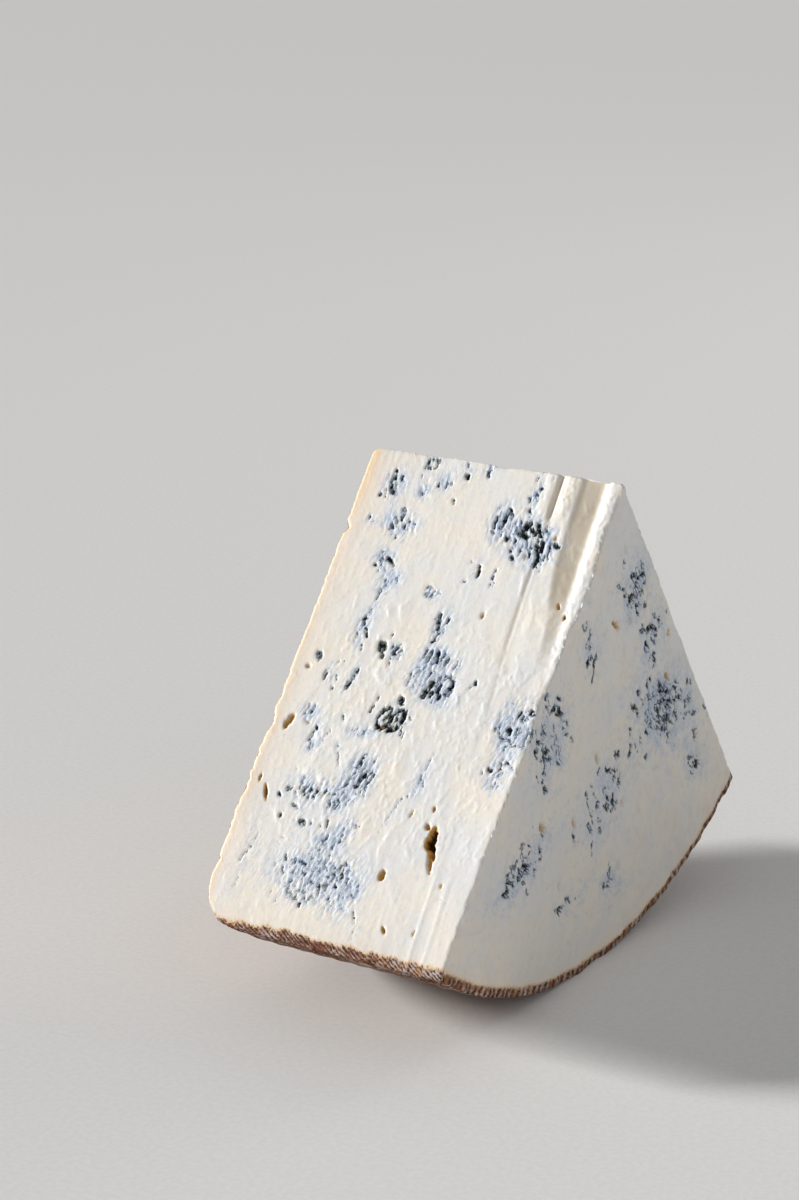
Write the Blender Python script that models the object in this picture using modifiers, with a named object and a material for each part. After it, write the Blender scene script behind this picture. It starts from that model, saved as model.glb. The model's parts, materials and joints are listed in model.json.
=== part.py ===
"""A wedge of blue-veined cheese, standing on its rind with its tip up.

The wedge is made as the real one is: a whole wheel is turned, halved across its
axis, and two long cuts that meet near the axis take one portion out of the half
wheel. The knife's step, the open veins and a notch by the rind are then cut into it.

Metres, +Z up. The wheel's axis lies along X: the wheel's flat rind is at -X and the
cut that halved the wheel is at +X. The front, with the step and the open veins, faces
-Y. The origin is the bottom centre of the wedge's box, on the foot it stands on.
"""

import math

import bmesh
import bpy
from mathutils import Matrix, Vector

NAME = "cheese_wedge"

# The wheel: while it is being made, its axis is the X axis and its flat rind is at x = 0
WHEEL_RADIUS = 0.1408
WHEEL_HEIGHT = 0.150
SHOULDER_RADIUS = 0.0115
RIM_LIP = 0.0030
RIM_LIP_POWER = 1.25
SIDE_CROWN = 0.0008

# The long cuts: each lies HALF_ANGLE to one side of straight down. Its offset is how
# far inside the axis it passes, and its skew is how much it turns towards the axis.
HALF_ANGLE = math.radians(37.5)
FRONT_OFFSET = 0.0010
FRONT_SKEW = 0.057
BACK_OFFSET = 0.0012
BACK_SKEW = -0.022

# The cut that halved the wheel: how far from the flat rind it ends at the bottom, and
# how much it leans outwards per metre up and per metre back
CUT_HEIGHT = 0.0697
CUT_LEAN_UP = 0.039
CUT_LEAN_BACK = 0.014

# The worn tip and the foot that the wedge's own weight presses flat
TIP_WEAR = 0.0006
FOOT_WIDTH = 0.028

# The step that the knife left down the front: the strip beyond it is lower, by about
# STEP_DEPTH at the tip and by nothing at STEP_END. STEP_BLOCK is its cutter's size, and
# STEP_RISE is the share of the block's length by which its middle lies above STEP_END.
STEP_X_AT_TIP = 0.0570
STEP_X_AT_END = 0.0590
STEP_DEPTH = 0.0009
STEP_END = 0.085
STEP_BLOCK = (0.030, 0.120, 0.004)
STEP_RISE = 0.4

# Hollows in the front: (name, x, distance down from the tip, half width across, half
# length down the face, depth)
HOLLOWS = [
    ("open_veins_by_step", 0.0540, 0.0190, 0.0052, 0.0045, 0.0020),
    ("vein_by_tip", 0.0097, 0.0105, 0.0022, 0.0030, 0.0015),
    ("vein_left", 0.0233, 0.0570, 0.0020, 0.0026, 0.0017),
    ("vein_right", 0.0373, 0.0480, 0.0016, 0.0042, 0.0014),
    ("vein_middle", 0.0402, 0.0660, 0.0020, 0.0030, 0.0014),
    ("oval_vein", 0.0325, 0.0760, 0.0036, 0.0030, 0.0018),
    ("vein_by_edge", 0.0660, 0.0720, 0.0026, 0.0020, 0.0016),
    ("long_eye", 0.0550, 0.1060, 0.0019, 0.0058, 0.0024),
    ("vein_low", 0.0180, 0.1078, 0.0017, 0.0014, 0.0014),
    ("notch_by_rind", -0.0006, 0.0250, 0.0020, 0.0026, 0.0030),
]

# How finely the round shapes are faceted
TURN_STEPS = 240
SHOULDER_STEPS = 8
SIDE_STEPS = 8
FACE_RINGS = 5
HOLLOW_FACETS = 2

MERGE = 0.00001
SHARP_EDGE = math.radians(30)


def clear_scene():
    for obj in list(bpy.data.objects):
        bpy.data.objects.remove(obj, do_unlink=True)


def new_collection(name):
    collection = bpy.data.collections.new(name)
    bpy.context.scene.collection.children.link(collection)
    return collection


def paste_material():
    """Ivory paste: the wedge is one solid piece, so it has one material here."""
    material = bpy.data.materials.new("blue_veined_paste")
    material.use_nodes = True
    shader = material.node_tree.nodes["Principled BSDF"]
    shader.inputs["Base Color"].default_value = (0.82, 0.74, 0.60, 1.0)
    shader.inputs["Roughness"].default_value = 0.45
    shader.inputs["Metallic"].default_value = 0.0
    return material


def half_profile():
    """(x, radius) from the flat rind's centre to the middle of the side.

    The flat rind swells by RIM_LIP as it nears the rim, a quarter circle turns the
    shoulder, and the side swells by SIDE_CROWN towards the middle of the wheel.
    """
    flat_end = WHEEL_RADIUS - SIDE_CROWN - SHOULDER_RADIUS
    points = []
    for ring in range(FACE_RINGS + 1):
        share = ring / FACE_RINGS
        points.append((-RIM_LIP * share**RIM_LIP_POWER, flat_end * share))
    for step in range(1, SHOULDER_STEPS + 1):
        turn = math.pi / 2 * step / SHOULDER_STEPS
        x = -RIM_LIP + SHOULDER_RADIUS * (1 - math.cos(turn))
        points.append((x, flat_end + SHOULDER_RADIUS * math.sin(turn)))
    side_start = points[-1][0]
    for step in range(1, SIDE_STEPS + 1):
        share = step / SIDE_STEPS
        x = side_start + (WHEEL_HEIGHT / 2 - side_start) * share
        points.append((x, WHEEL_RADIUS - SIDE_CROWN * (1 - share) ** 2))
    return points


def turned_wheel():
    """The mesh of the whole wheel."""
    half = half_profile()
    other_half = [(WHEEL_HEIGHT - x, radius) for x, radius in reversed(half[:-1])]
    profile = [(x, 0.0, radius) for x, radius in half + other_half]
    outline = bpy.data.meshes.new("wheel_profile")
    outline.from_pydata(profile, [(i, i + 1) for i in range(len(profile) - 1)], [])
    turned = bpy.data.objects.new("wheel_profile", outline)
    bpy.context.scene.collection.objects.link(turned)
    screw = turned.modifiers.new("turn", "SCREW")
    screw.axis = "X"
    screw.angle = 2 * math.pi
    screw.steps = TURN_STEPS
    screw.render_steps = TURN_STEPS
    screw.use_merge_vertices = True
    screw.merge_threshold = MERGE
    graph = bpy.context.evaluated_depsgraph_get()
    mesh = bpy.data.meshes.new_from_object(turned.evaluated_get(graph))
    bpy.data.objects.remove(turned, do_unlink=True)
    return mesh


def front_axes():
    """Unit directions on the front: across it, down it and out of it."""
    sine, cosine = math.sin(HALF_ANGLE), math.cos(HALF_ANGLE)
    out = Vector((FRONT_SKEW, -cosine, sine)).normalized()
    down = Vector((0.0, -sine, -cosine))
    return out.cross(down), down, out


def on_front(x, down_from_tip):
    """The point of the front with this x at this distance down from the tip."""
    across, down, out = front_axes()
    tip_drop = tip_height() / down.z
    return down * (tip_drop + down_from_tip) + across * (x / across.x) - out * FRONT_OFFSET


def tip_height():
    """z of the line where the long cuts meet, at the flat rind."""
    return -(FRONT_OFFSET + BACK_OFFSET) / 2 / math.sin(HALF_ANGLE)


def flat_cuts():
    """(point, outward direction) of the flat cuts that free the wedge from the wheel."""
    sine, cosine = math.sin(HALF_ANGLE), math.cos(HALF_ANGLE)
    front = Vector((FRONT_SKEW, -cosine, sine)).normalized()
    back = Vector((BACK_SKEW, cosine, sine)).normalized()
    halving = Vector((1.0, -CUT_LEAN_BACK, -CUT_LEAN_UP))
    tip = Vector(((FRONT_SKEW + BACK_SKEW) / 2 / sine, 0.0, 1.0))
    foot_drop = math.sqrt(WHEEL_RADIUS**2 - (FOOT_WIDTH / 2) ** 2)
    return [
        (Vector((CUT_HEIGHT, 0.0, -WHEEL_RADIUS)), halving),
        (-FRONT_OFFSET * front, front),
        (-BACK_OFFSET * back, back),
        (Vector((0.0, 0.0, tip_height() - TIP_WEAR)), tip),
        (Vector((0.0, 0.0, -foot_drop)), Vector((0.0, 0.0, -1.0))),
    ]


def cut_wedge(mesh):
    """Slices the wheel's mesh with each flat cut and closes it after each."""
    body = bmesh.new()
    body.from_mesh(mesh)
    bmesh.ops.remove_doubles(body, verts=body.verts, dist=MERGE)
    for point, outward in flat_cuts():
        geom = body.verts[:] + body.edges[:] + body.faces[:]
        sliced = bmesh.ops.bisect_plane(
            body, geom=geom, dist=MERGE, plane_co=point, plane_no=outward, clear_outer=True
        )
        rim = [item for item in sliced["geom_cut"] if isinstance(item, bmesh.types.BMEdge)]
        bmesh.ops.contextual_create(body, geom=rim)
    bmesh.ops.triangulate(body, faces=body.faces)
    bmesh.ops.recalc_face_normals(body, faces=body.faces)
    body.to_mesh(mesh)
    body.free()


def axes_matrix(across, down, out, origin):
    columns = Matrix((across, down, out)).transposed().to_4x4()
    return Matrix.Translation(origin) @ columns


def add_cutter(cutters, name, cutter_shape, matrix):
    mesh = bpy.data.meshes.new(name)
    shape = bmesh.new()
    cutter_shape(shape, matrix)
    bmesh.ops.recalc_face_normals(shape, faces=shape.faces)
    shape.to_mesh(mesh)
    shape.free()
    cutter = bpy.data.objects.new(name, mesh)
    cutter.hide_render = True
    cutter.display_type = "WIRE"
    cutters.objects.link(cutter)


def take_away(body, cutters):
    """The live Boolean that takes every cutter from the body at once."""
    cut = body.modifiers.new(cutters.name, "BOOLEAN")
    cut.operation = "DIFFERENCE"
    cut.solver = "EXACT"
    cut.operand_type = "COLLECTION"
    cut.collection = cutters


def block(shape, matrix):
    bmesh.ops.create_cube(shape, size=1.0, matrix=matrix)


def ball(shape, matrix):
    bmesh.ops.create_icosphere(
        shape, subdivisions=HOLLOW_FACETS, radius=1.0, matrix=matrix
    )


def add_step(cutters, to_row):
    """The knife's step: a block whose underside slopes into the front and fades out."""
    across, down, out = front_axes()
    slope = math.atan2(STEP_DEPTH, STEP_END)
    lean = math.atan2(STEP_X_AT_END - STEP_X_AT_TIP, STEP_END)
    turned = Matrix.Rotation(-slope, 3, across) @ Matrix.Rotation(lean, 3, out)
    axes = [turned @ axis for axis in (across, down, out)]
    wide, long, thick = STEP_BLOCK
    corner = on_front(STEP_X_AT_END, STEP_END)
    centre = corner + axes[0] * wide / 2 + axes[2] * thick / 2 - axes[1] * long * STEP_RISE
    matrix = axes_matrix(*axes, centre) @ Matrix.Diagonal((wide, long, thick, 1.0))
    add_cutter(cutters, "knife_step", block, to_row @ matrix)


def add_hollow(cutters, to_row, name, centre_x, down, wide, long, depth):
    """One ball-shaped cutter, stretched along the front and sunk to its depth."""
    matrix = axes_matrix(*front_axes(), on_front(centre_x, down))
    scale = Matrix.Diagonal((wide, long, depth, 1.0))
    add_cutter(cutters, name, ball, to_row @ matrix @ scale)


def stand_on_origin(mesh):
    """Moves the mesh so that the bottom centre of its box is the origin."""
    corners = [vertex.co for vertex in mesh.vertices]
    low = Vector([min(corner[axis] for corner in corners) for axis in range(3)])
    high = Vector([max(corner[axis] for corner in corners) for axis in range(3)])
    middle = (low + high) / 2
    to_row = Matrix.Translation((-middle.x, -middle.y, -low.z))
    mesh.transform(to_row)
    return to_row


def build():
    clear_scene()
    collection = new_collection(NAME)
    cutters = new_collection(NAME + "_cutters")
    cutters.hide_render = True
    mesh = turned_wheel()
    cut_wedge(mesh)
    to_row = stand_on_origin(mesh)
    mesh.materials.clear()
    mesh.materials.append(paste_material())
    mesh.shade_smooth()
    mesh.set_sharp_from_angle(angle=SHARP_EDGE)
    body = bpy.data.objects.new(NAME, mesh)
    collection.objects.link(body)
    add_step(cutters, to_row)
    for hollow in HOLLOWS:
        add_hollow(cutters, to_row, *hollow)
    take_away(body, cutters)


build()
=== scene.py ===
"""A wedge of blue-veined cheese: its paste, its veins and its rind, built on the solid."""

import json
import math

import bmesh
import bpy
import numpy as np
from bpy.props import FloatProperty, FloatVectorProperty, PointerProperty, StringProperty
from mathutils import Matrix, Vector

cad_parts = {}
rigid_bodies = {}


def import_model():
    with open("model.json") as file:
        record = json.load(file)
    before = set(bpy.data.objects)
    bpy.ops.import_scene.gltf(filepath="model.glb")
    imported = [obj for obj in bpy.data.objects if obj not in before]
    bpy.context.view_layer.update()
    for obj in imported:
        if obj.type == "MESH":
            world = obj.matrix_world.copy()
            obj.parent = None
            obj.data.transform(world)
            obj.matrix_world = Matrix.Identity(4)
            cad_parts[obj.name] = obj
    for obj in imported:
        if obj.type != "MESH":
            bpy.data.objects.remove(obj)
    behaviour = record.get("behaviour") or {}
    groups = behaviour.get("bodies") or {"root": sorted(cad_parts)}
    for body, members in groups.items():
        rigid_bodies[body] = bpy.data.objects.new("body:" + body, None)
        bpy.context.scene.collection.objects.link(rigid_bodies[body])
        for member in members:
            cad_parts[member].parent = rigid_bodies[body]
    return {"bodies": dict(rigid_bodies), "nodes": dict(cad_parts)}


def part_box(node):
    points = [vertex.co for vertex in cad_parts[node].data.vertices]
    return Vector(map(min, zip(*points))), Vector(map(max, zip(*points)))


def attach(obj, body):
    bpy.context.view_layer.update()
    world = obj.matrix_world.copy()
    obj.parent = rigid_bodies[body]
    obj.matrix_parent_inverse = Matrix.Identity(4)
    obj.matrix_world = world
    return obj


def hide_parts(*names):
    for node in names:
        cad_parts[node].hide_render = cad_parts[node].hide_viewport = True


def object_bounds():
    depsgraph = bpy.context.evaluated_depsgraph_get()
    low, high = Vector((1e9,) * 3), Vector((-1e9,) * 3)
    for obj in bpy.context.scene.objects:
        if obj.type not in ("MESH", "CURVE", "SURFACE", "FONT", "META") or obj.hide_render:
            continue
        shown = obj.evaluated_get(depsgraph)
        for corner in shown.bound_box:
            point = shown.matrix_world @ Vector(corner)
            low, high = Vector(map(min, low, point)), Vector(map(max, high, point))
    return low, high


bl_info = {
    "name": "Blue-veined cheese wedge",
    "version": (1, 0, 0),
    "blender": (4, 5, 0),
    "location": "3D View > Sidebar > Cheese",
    "description": "Builds a wedge cut from a wheel of blue-veined cheese",
    "category": "Add Mesh",
}

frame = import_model()
CAD_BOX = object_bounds()

MM = 0.001

# The wheel, in millimetres. Its axis is the X axis while the surfaces are worked out,
# its flat rind starts at x = 0 on the axis, and an angle of 0 points straight down.
FLAT_END = 128.5
SHOULDER = 11.4
RIM_SWELL = 2.9
RIM_SWELL_POWER = 1.25
SIDE_RADIUS = 139.9
SIDE_SWELL = 0.7
BELLY_X = 75.0
FOOT_DROP = 140.102

# The rim's round radius, and its arc from the front to the back
RIM_RADIUS = 140
RIM_ARC = 183

# The two long cuts: half angle, distance inside the axis, turn towards the axis
HALF_ANGLE = math.radians(37.5)
FRONT_CUT = (1.02, 0.057)
BACK_CUT = (1.18, -0.022)

# The cut that halved the wheel: x at the bottom, lean per millimetre up and back
HALVING_X = 70.3
HALVING_UP = 0.0345
HALVING_BACK = 0.014

# The wheel's axis, measured from the low corner of the solid's box
AXIS_FROM_LOW = (2.998, 84.036, FOOT_DROP)

# Where the tip line starts, measured down the front from the axis
TIP_START = 1.49

# Ribs of the mat, rounding of the edges, gap left for the zips between the patches, and
# how far the rind's smear reaches up a cut
MAT_RIB = 1.65
EDGE_ROUND = 0.9
EDGE_GAP = 0.32
TIP_ROUND = 0.9
RIM_SHOWS = 4.4

# Lengths that are divided into the patches' steps: the long cuts and the curved rind
CUT_WIDE = 75
CUT_LONG = 139
SIDE_WIDE = 78
FRONT_ROW_STRETCH = 1.22

# Radii at which the rings round the tip's two ends stop
CUT_HOLE = 6.9
RIND_HOLE = 4.7


# ---------------------------------------------------------------- noise


def lattice(ix, iy, iz, seed):
    """A repeatable number from -1 to 1 for each lattice point, by integer hashing."""
    mixed = (
        ix.astype(np.uint32) * np.uint32(374761393)
        + iy.astype(np.uint32) * np.uint32(668265263)
        + iz.astype(np.uint32) * np.uint32(2246822519)
        + np.uint32(seed * 144665 % 4294967291)
    )
    mixed = (mixed ^ (mixed >> np.uint32(13))) * np.uint32(1274126177)
    mixed = (mixed ^ (mixed >> np.uint32(16))) * np.uint32(2246822519)
    mixed = mixed ^ (mixed >> np.uint32(15))
    return mixed.astype(np.float64) / 2147483648.0 - 1.0


def noise(x, y, z, seed):
    """Gradient noise, about -1 to 1: lattice gradients blended by 6t^5 - 15t^4 + 10t^3."""
    x, y, z = np.broadcast_arrays(x, y, z)
    whole = [np.floor(v).astype(np.int64) for v in (x, y, z)]
    part = [v - w for v, w in zip((x, y, z), whole)]
    blend = [p * p * p * (p * (p * 6 - 15) + 10) for p in part]
    total = np.zeros(x.shape)
    for corner in range(8):
        bits = [(corner >> axis) & 1 for axis in range(3)]
        at = [w + b for w, b in zip(whole, bits)]
        weight = np.ones(x.shape)
        for axis in range(3):
            weight = weight * (blend[axis] if bits[axis] else 1 - blend[axis])
        slope = sum(
            lattice(at[0], at[1], at[2], seed * 3 + axis) * (part[axis] - bits[axis])
            for axis in range(3)
        )
        total += weight * slope
    return total * 1.4


def fbm(x, y, z, seed, octaves=4, rough=0.5):
    """Sum of noises, each at twice the frequency and `rough` times the height."""
    total, height, most = 0.0, 1.0, 0.0
    for octave in range(octaves):
        k = 2.03**octave
        total = total + height * noise(x * k, y * k, z * k, seed + octave * 17)
        most += height
        height *= rough
    return total / most


def cells(x, y, seed):
    """Distances to the nearest and second nearest of one jittered point per unit square."""
    home_x, home_y = np.floor(x).astype(np.int64), np.floor(y).astype(np.int64)
    nearest = np.full(x.shape, 9.0)
    second = np.full(x.shape, 9.0)
    for shift_x in (-1, 0, 1):
        for shift_y in (-1, 0, 1):
            at_x, at_y = home_x + shift_x, home_y + shift_y
            point_x = at_x + 0.5 + 0.45 * lattice(at_x, at_y, at_x * 0, seed)
            point_y = at_y + 0.5 + 0.45 * lattice(at_x, at_y, at_x * 0, seed + 1)
            far = np.hypot(x - point_x, y - point_y)
            second = np.minimum(second, np.maximum(nearest, far))
            nearest = np.minimum(nearest, far)
    return nearest, second


def smooth(low, high, value):
    """3t^2 - 2t^3 of value's place between low and high, from 0 to 1."""
    t = np.clip((value - low) / (high - low), 0, 1)
    return t * t * (3 - 2 * t)


def bell(distance):
    """exp(-d^2): a hump of height 1 and half width of about 1."""
    return np.exp(-(distance**2))


# ---------------------------------------------------------------- what marks the front

# Veins on the front: (x, r, dx, dr, width, darkness, greenness), in millimetres. Each is
# a stroke from (x, r) by (dx, dr); r is measured down the front from the tip.
STROKES = [
    (9.2, 6.5, 0.3, 5.0, 1.2, 0.9, 0.6), (10.2, 12.5, 0, 0.4, 1.8, 0.7, 0.4),
    (11.6, 7.5, 0.3, 1.5, 0.9, 0.6, 0.1), (7.0, 13.7, 0, 0.4, 1.1, 0.6, 0.2),
    (12.0, 12.6, 0.2, 0.8, 0.9, 0.5, 0.2), (18.5, 1.8, 1.4, -1.0, 0.7, 0.6, 0.5),
    (17.3, 4.0, 1.4, -0.4, 0.8, 0.6, 0.4), (20.3, 3.0, 0.5, -2.0, 0.7, 0.5, 0.4),
    (30.3, 4.6, 0.2, 0.2, 1.2, 1.0, 0.6), (23.3, 8.0, -0.2, 0.8, 0.9, 0.85, 0.4),
    (25.0, 7.0, 0, 2.0, 0.7, 0.45, 0.1), (36.0, 0.8, 0.3, 2.2, 0.8, 0.45, 0.1),
    (19.5, 9.0, -0.5, 3.0, 0.7, 0.4, 0.0), (28.9, 12.0, 0.4, 1.0, 0.8, 0.7, 0.3),
    (6.3, 21.2, 0.7, 0.9, 0.8, 0.5, 0.1), (15.4, 17.0, 0.3, 1.2, 1.5, 0.42, 0.5),
    (15.6, 19.0, 0.1, 0.8, 0.9, 0.75, 0.3), (13.8, 22.0, 0.3, 0.3, 1.0, 0.75, 0.2),
    (17.3, 21.8, 0.6, 0.8, 0.9, 0.55, 0.1), (19.2, 20.4, 0.7, 0.7, 0.7, 0.5, 0.1),
    (15.3, 24.8, 0.2, 0.5, 0.7, 0.7, 0.4), (11.0, 24.4, 0.4, 0.2, 0.7, 0.35, 0.0),
    (15.9, 31.6, 2.1, 1.5, 1.1, 0.9, 0.4), (12.5, 34.0, 0.5, 0.2, 0.9, 0.55, 0.3),
    (14.5, 33.8, 0.2, 0.6, 0.7, 0.45, 0.2), (13.5, 29.3, 0.3, 1.6, 0.6, 0.45, 0.1),
    (39.2, 27.8, 0.8, 1.0, 0.5, 0.5, 0.8), (42.5, 29.3, 0.4, 2.4, 1.0, 0.9, 0.9),
    (39.8, 33.2, -0.2, 1.0, 0.8, 0.6, 1.0), (47.7, 29.0, -0.5, 3.4, 0.5, 0.65, 0.8),
    (48.2, 33.2, -0.3, 0.8, 0.5, 0.45, 0.5),
    (43.0, 14.6, -0.2, 3.2, 0.9, 0.8, 0.3), (45.8, 12.0, -1.0, 5.0, 0.9, 0.85, 0.3),
    (46.3, 13.2, 0.2, 0.3, 1.1, 0.9, 0.3), (42.5, 19.0, 0.6, 0.6, 0.7, 0.6, 0.1),
    (52.5, 15.0, -1.8, 3.4, 1.7, 1.0, 0.6), (51.0, 18.0, 1.6, 0.8, 1.5, 1.0, 0.6),
    (55.2, 15.3, 1.2, 2.6, 1.5, 1.0, 0.5), (53.4, 16.4, 1.6, 1.2, 1.4, 1.0, 0.6),
    (47.5, 20.0, 0.1, 0.6, 1.0, 0.95, 0.4), (50.0, 20.2, -0.4, 3.4, 0.9, 0.75, 0.3),
    (50.6, 25.2, 0.2, 0.7, 1.0, 0.95, 0.4), (52.5, 21.8, -0.4, 2.4, 0.6, 0.6, 0.2),
    (55.0, 21.3, 0.4, 2.8, 0.8, 0.8, 0.4), (57.7, 19.6, 0.1, 7.0, 1.2, 1.0, 0.5),
    (56.4, 21.0, 0.8, 1.2, 1.1, 0.9, 0.5), (61.6, 20.0, 0.5, 0.1, 1.4, 1.0, 0.6),
    (60.0, 19.4, 0.5, 4.6, 0.6, 0.6, 0.1), (57.6, 15.8, 0.3, 0.6, 0.9, 0.8, 0.4),
    (59.0, 24.0, 0.2, 4.2, 0.6, 0.5, 0.2), (50.6, 1.5, -0.2, 1.5, 0.6, 0.4, 0.5),
    (52.6, 4.8, -0.6, 1.8, 0.9, 0.65, 0.2), (53.3, 3.6, 0.2, 0.5, 0.7, 0.5, 0.2),
    (50.3, 8.0, 0.1, 0.6, 0.8, 0.8, 0.3), (51.2, 11.0, 0.3, 1.0, 0.7, 0.65, 0.4),
    (55.0, 1.2, 0.1, 0.8, 0.7, 0.45, 0.2), (49.4, 16.8, -0.3, 1.5, 0.5, 0.5, 0.1),
    (17.0, 37.5, 1.0, 2.0, 0.6, 0.4, 0.0), (20.3, 36.6, 0.3, 1.6, 0.6, 0.4, 0.0),
    (17.2, 41.0, -0.8, 2.8, 0.7, 0.5, 0.1), (30.5, 39.3, 1.1, -1.5, 0.6, 0.5, 0.2),
    (31.7, 37.8, 2.4, 1.3, 0.6, 0.5, 0.2), (15.0, 49.3, 0.2, 1.7, 0.8, 0.75, 0.4),
    (16.3, 52.0, 1.3, 2.6, 0.7, 0.7, 0.5), (14.5, 53.0, -0.5, 3.0, 0.5, 0.45, 0.3),
    (16.9, 56.8, 0.5, 1.8, 0.5, 0.5, 0.5), (13.0, 56.2, -0.2, 0.8, 0.6, 0.4, 0.1),
    (16.2, 46.0, -0.4, 1.5, 0.6, 0.4, 0.1),
    (22.6, 55.6, 0.4, 1.2, 2.0, 1.0, 0.8), (23.7, 58.5, 0.2, 0.5, 1.1, 1.0, 0.7),
    (24.6, 52.6, 0.1, 1.6, 0.5, 0.55, 0.7), (27.4, 55.8, -0.4, 1.8, 0.8, 0.9, 0.3),
    (28.9, 56.2, -0.6, 2.2, 0.8, 0.85, 0.3), (25.8, 55.4, 0.2, 1.2, 0.6, 0.5, 0.2),
    (36.2, 44.4, 0.6, 4.2, 1.0, 1.0, 0.3), (38.9, 45.0, -0.3, 4.0, 0.6, 0.7, 0.3),
    (37.7, 49.4, -1.2, 3.2, 0.7, 0.8, 0.5), (37.3, 54.8, -0.1, 2.8, 0.8, 0.85, 0.1),
    (39.2, 54.8, 0.4, 2.8, 1.0, 1.0, 0.3), (41.0, 54.8, -0.4, 3.6, 0.6, 0.6, 0.1),
    (35.8, 54.6, 0.1, 1.2, 0.6, 0.4, 0.0), (45.6, 54.8, -0.5, 4.2, 0.7, 0.5, 0.6),
    (46.3, 55.5, 0.0, 2.2, 0.5, 0.4, 0.6), (42.5, 61.3, 2.0, -0.5, 0.6, 0.7, 0.3),
    (44.5, 60.8, 2.0, 1.6, 0.7, 0.75, 0.2), (46.4, 61.8, -1.1, 3.4, 0.9, 0.9, 0.2),
    (45.0, 65.5, -3.0, 3.0, 0.8, 0.6, 0.1), (40.3, 63.8, -1.3, 3.7, 1.5, 1.0, 0.7),
    (41.2, 66.0, -0.4, 1.0, 0.8, 0.8, 0.5), (33.8, 62.0, -0.3, 3.6, 0.6, 0.35, 0.1),
    (52.2, 60.8, 0.1, 0.7, 0.7, 0.65, 0.4), (51.5, 62.2, -0.3, 0.6, 0.5, 0.45, 0.3),
    (5.7, 62.1, 0.2, 0.2, 1.7, 0.9, 0.5), (11.8, 62.8, 0.5, -0.1, 0.6, 0.45, 0.0),
    (13.5, 62.4, 0.3, 0.1, 0.5, 0.4, 0.0), (9.5, 66.0, 0.1, 2.0, 0.9, 0.75, 0.4),
    (12.0, 67.2, 0.1, 0.6, 0.7, 0.45, 0.1), (12.8, 70.2, 0.1, 0.2, 0.7, 0.75, 0.3),
    (18.3, 63.8, -0.4, 2.8, 0.8, 0.65, 0.3), (17.5, 67.0, -0.8, 2.8, 0.7, 0.75, 0.3),
    (16.5, 71.2, -0.1, 0.7, 0.5, 0.4, 0.1), (26.9, 70.0, -0.9, 4.6, 0.5, 0.65, 0.7),
    (33.6, 69.5, 0.2, 0.8, 1.5, 1.0, 0.5), (33.2, 73.3, 0, 0.5, 0.8, 0.9, 0.5),
    (31.2, 74.6, -0.4, 2.4, 1.2, 0.55, 0.9), (34.2, 74.2, -0.4, 2.8, 0.9, 0.5, 0.9),
    (31.6, 77.6, 2.4, -0.6, 0.7, 0.8, 0.9), (37.8, 74.0, 0.1, 0.3, 0.7, 0.75, 0.4),
    (8.0, 76.0, -0.4, 2.6, 0.7, 0.45, 0.2), (9.8, 76.3, -0.6, 1.8, 0.6, 0.5, 0.2),
    (19.0, 77.2, 0.2, 0.9, 0.6, 0.65, 0.3), (67.0, 66.3, -0.2, 1.8, 0.6, 0.8, 0.2),
    (68.0, 67.0, 0.3, 2.0, 0.7, 0.9, 0.2), (70.2, 65.8, 0.3, 0.6, 1.2, 1.0, 0.3),
    (65.6, 71.8, 0.3, 0.3, 1.4, 1.0, 0.5), (62.5, 70.4, 0.6, 2.8, 0.5, 0.65, 0.2),
    (67.6, 69.8, 0.4, 3.4, 0.5, 0.5, 0.1), (65.8, 74.2, 0.5, 0.3, 0.7, 0.6, 0.3),
    (66.0, 76.2, 4.0, -0.8, 0.6, 0.5, 0.2), (64.2, 63.8, 0, 0.6, 0.5, 0.35, 0.2),
    (63.9, 82.8, 0.3, 0.4, 1.0, 0.95, 0.4), (62.5, 84.2, -0.2, 0.6, 0.6, 0.55, 0.3),
    (66.5, 80.8, 0.2, 3.4, 0.8, 0.65, 0.1), (68.0, 80.0, 2.2, 1.8, 0.6, 0.6, 0.1),
    (66.7, 86.3, -0.8, 2.4, 0.5, 0.6, 0.1), (70.6, 70.0, 0.2, 6.0, 0.6, 0.5, 0.1),
    (12.3, 81.7, 0.1, 0.2, 0.7, 0.9, 0.4), (12.0, 83.0, -0.7, 2.6, 0.8, 0.6, 0.1),
    (14.3, 88.0, 0.1, 0.4, 0.7, 0.75, 0.3), (16.6, 81.5, -2.0, 5.6, 0.4, 0.4, 0.1),
    (13.0, 86.8, 0.2, 1.4, 0.5, 0.45, 0.1), (20.5, 85.6, 0.3, 1.6, 0.5, 0.4, 0.1),
    (22.5, 80.4, 1.6, -0.4, 0.6, 0.35, 0.0), (26.0, 79.8, 2.4, -0.2, 0.6, 0.4, 0.0),
    (28.6, 86.4, -0.2, 2.6, 0.8, 0.85, 0.1), (26.2, 88.8, 0.6, -0.2, 0.5, 0.6, 0.2),
    (28.4, 88.2, -1.4, 5.2, 0.6, 0.7, 0.1), (27.0, 93.2, -1.0, 3.2, 0.6, 0.7, 0.1),
    (30.6, 91.3, -1.5, 4.2, 1.0, 0.95, 0.2), (32.1, 90.3, -1.0, 2.4, 0.6, 0.85, 0.1),
    (33.4, 90.0, -1.7, 5.2, 0.6, 0.8, 0.1), (24.6, 96.8, -1.3, 5.8, 0.5, 0.65, 0.1),
    (26.2, 99.8, -0.4, 2.4, 0.7, 0.75, 0.1), (28.7, 98.6, -0.4, 2.6, 0.5, 0.5, 0.1),
    (47.5, 82.0, -1.8, 11.0, 0.5, 0.42, 0.1), (43.0, 95.0, -3.3, 10.6, 0.4, 0.5, 0.4),
    (44.0, 94.3, 0.2, 0.4, 0.6, 0.5, 0.2), (11.0, 94.0, 0.1, 0.5, 0.6, 0.5, 0.4),
    (14.0, 95.4, -0.5, 3.6, 0.8, 0.55, 0.4), (10.6, 99.4, 0.2, 0.6, 1.3, 0.95, 0.5),
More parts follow.
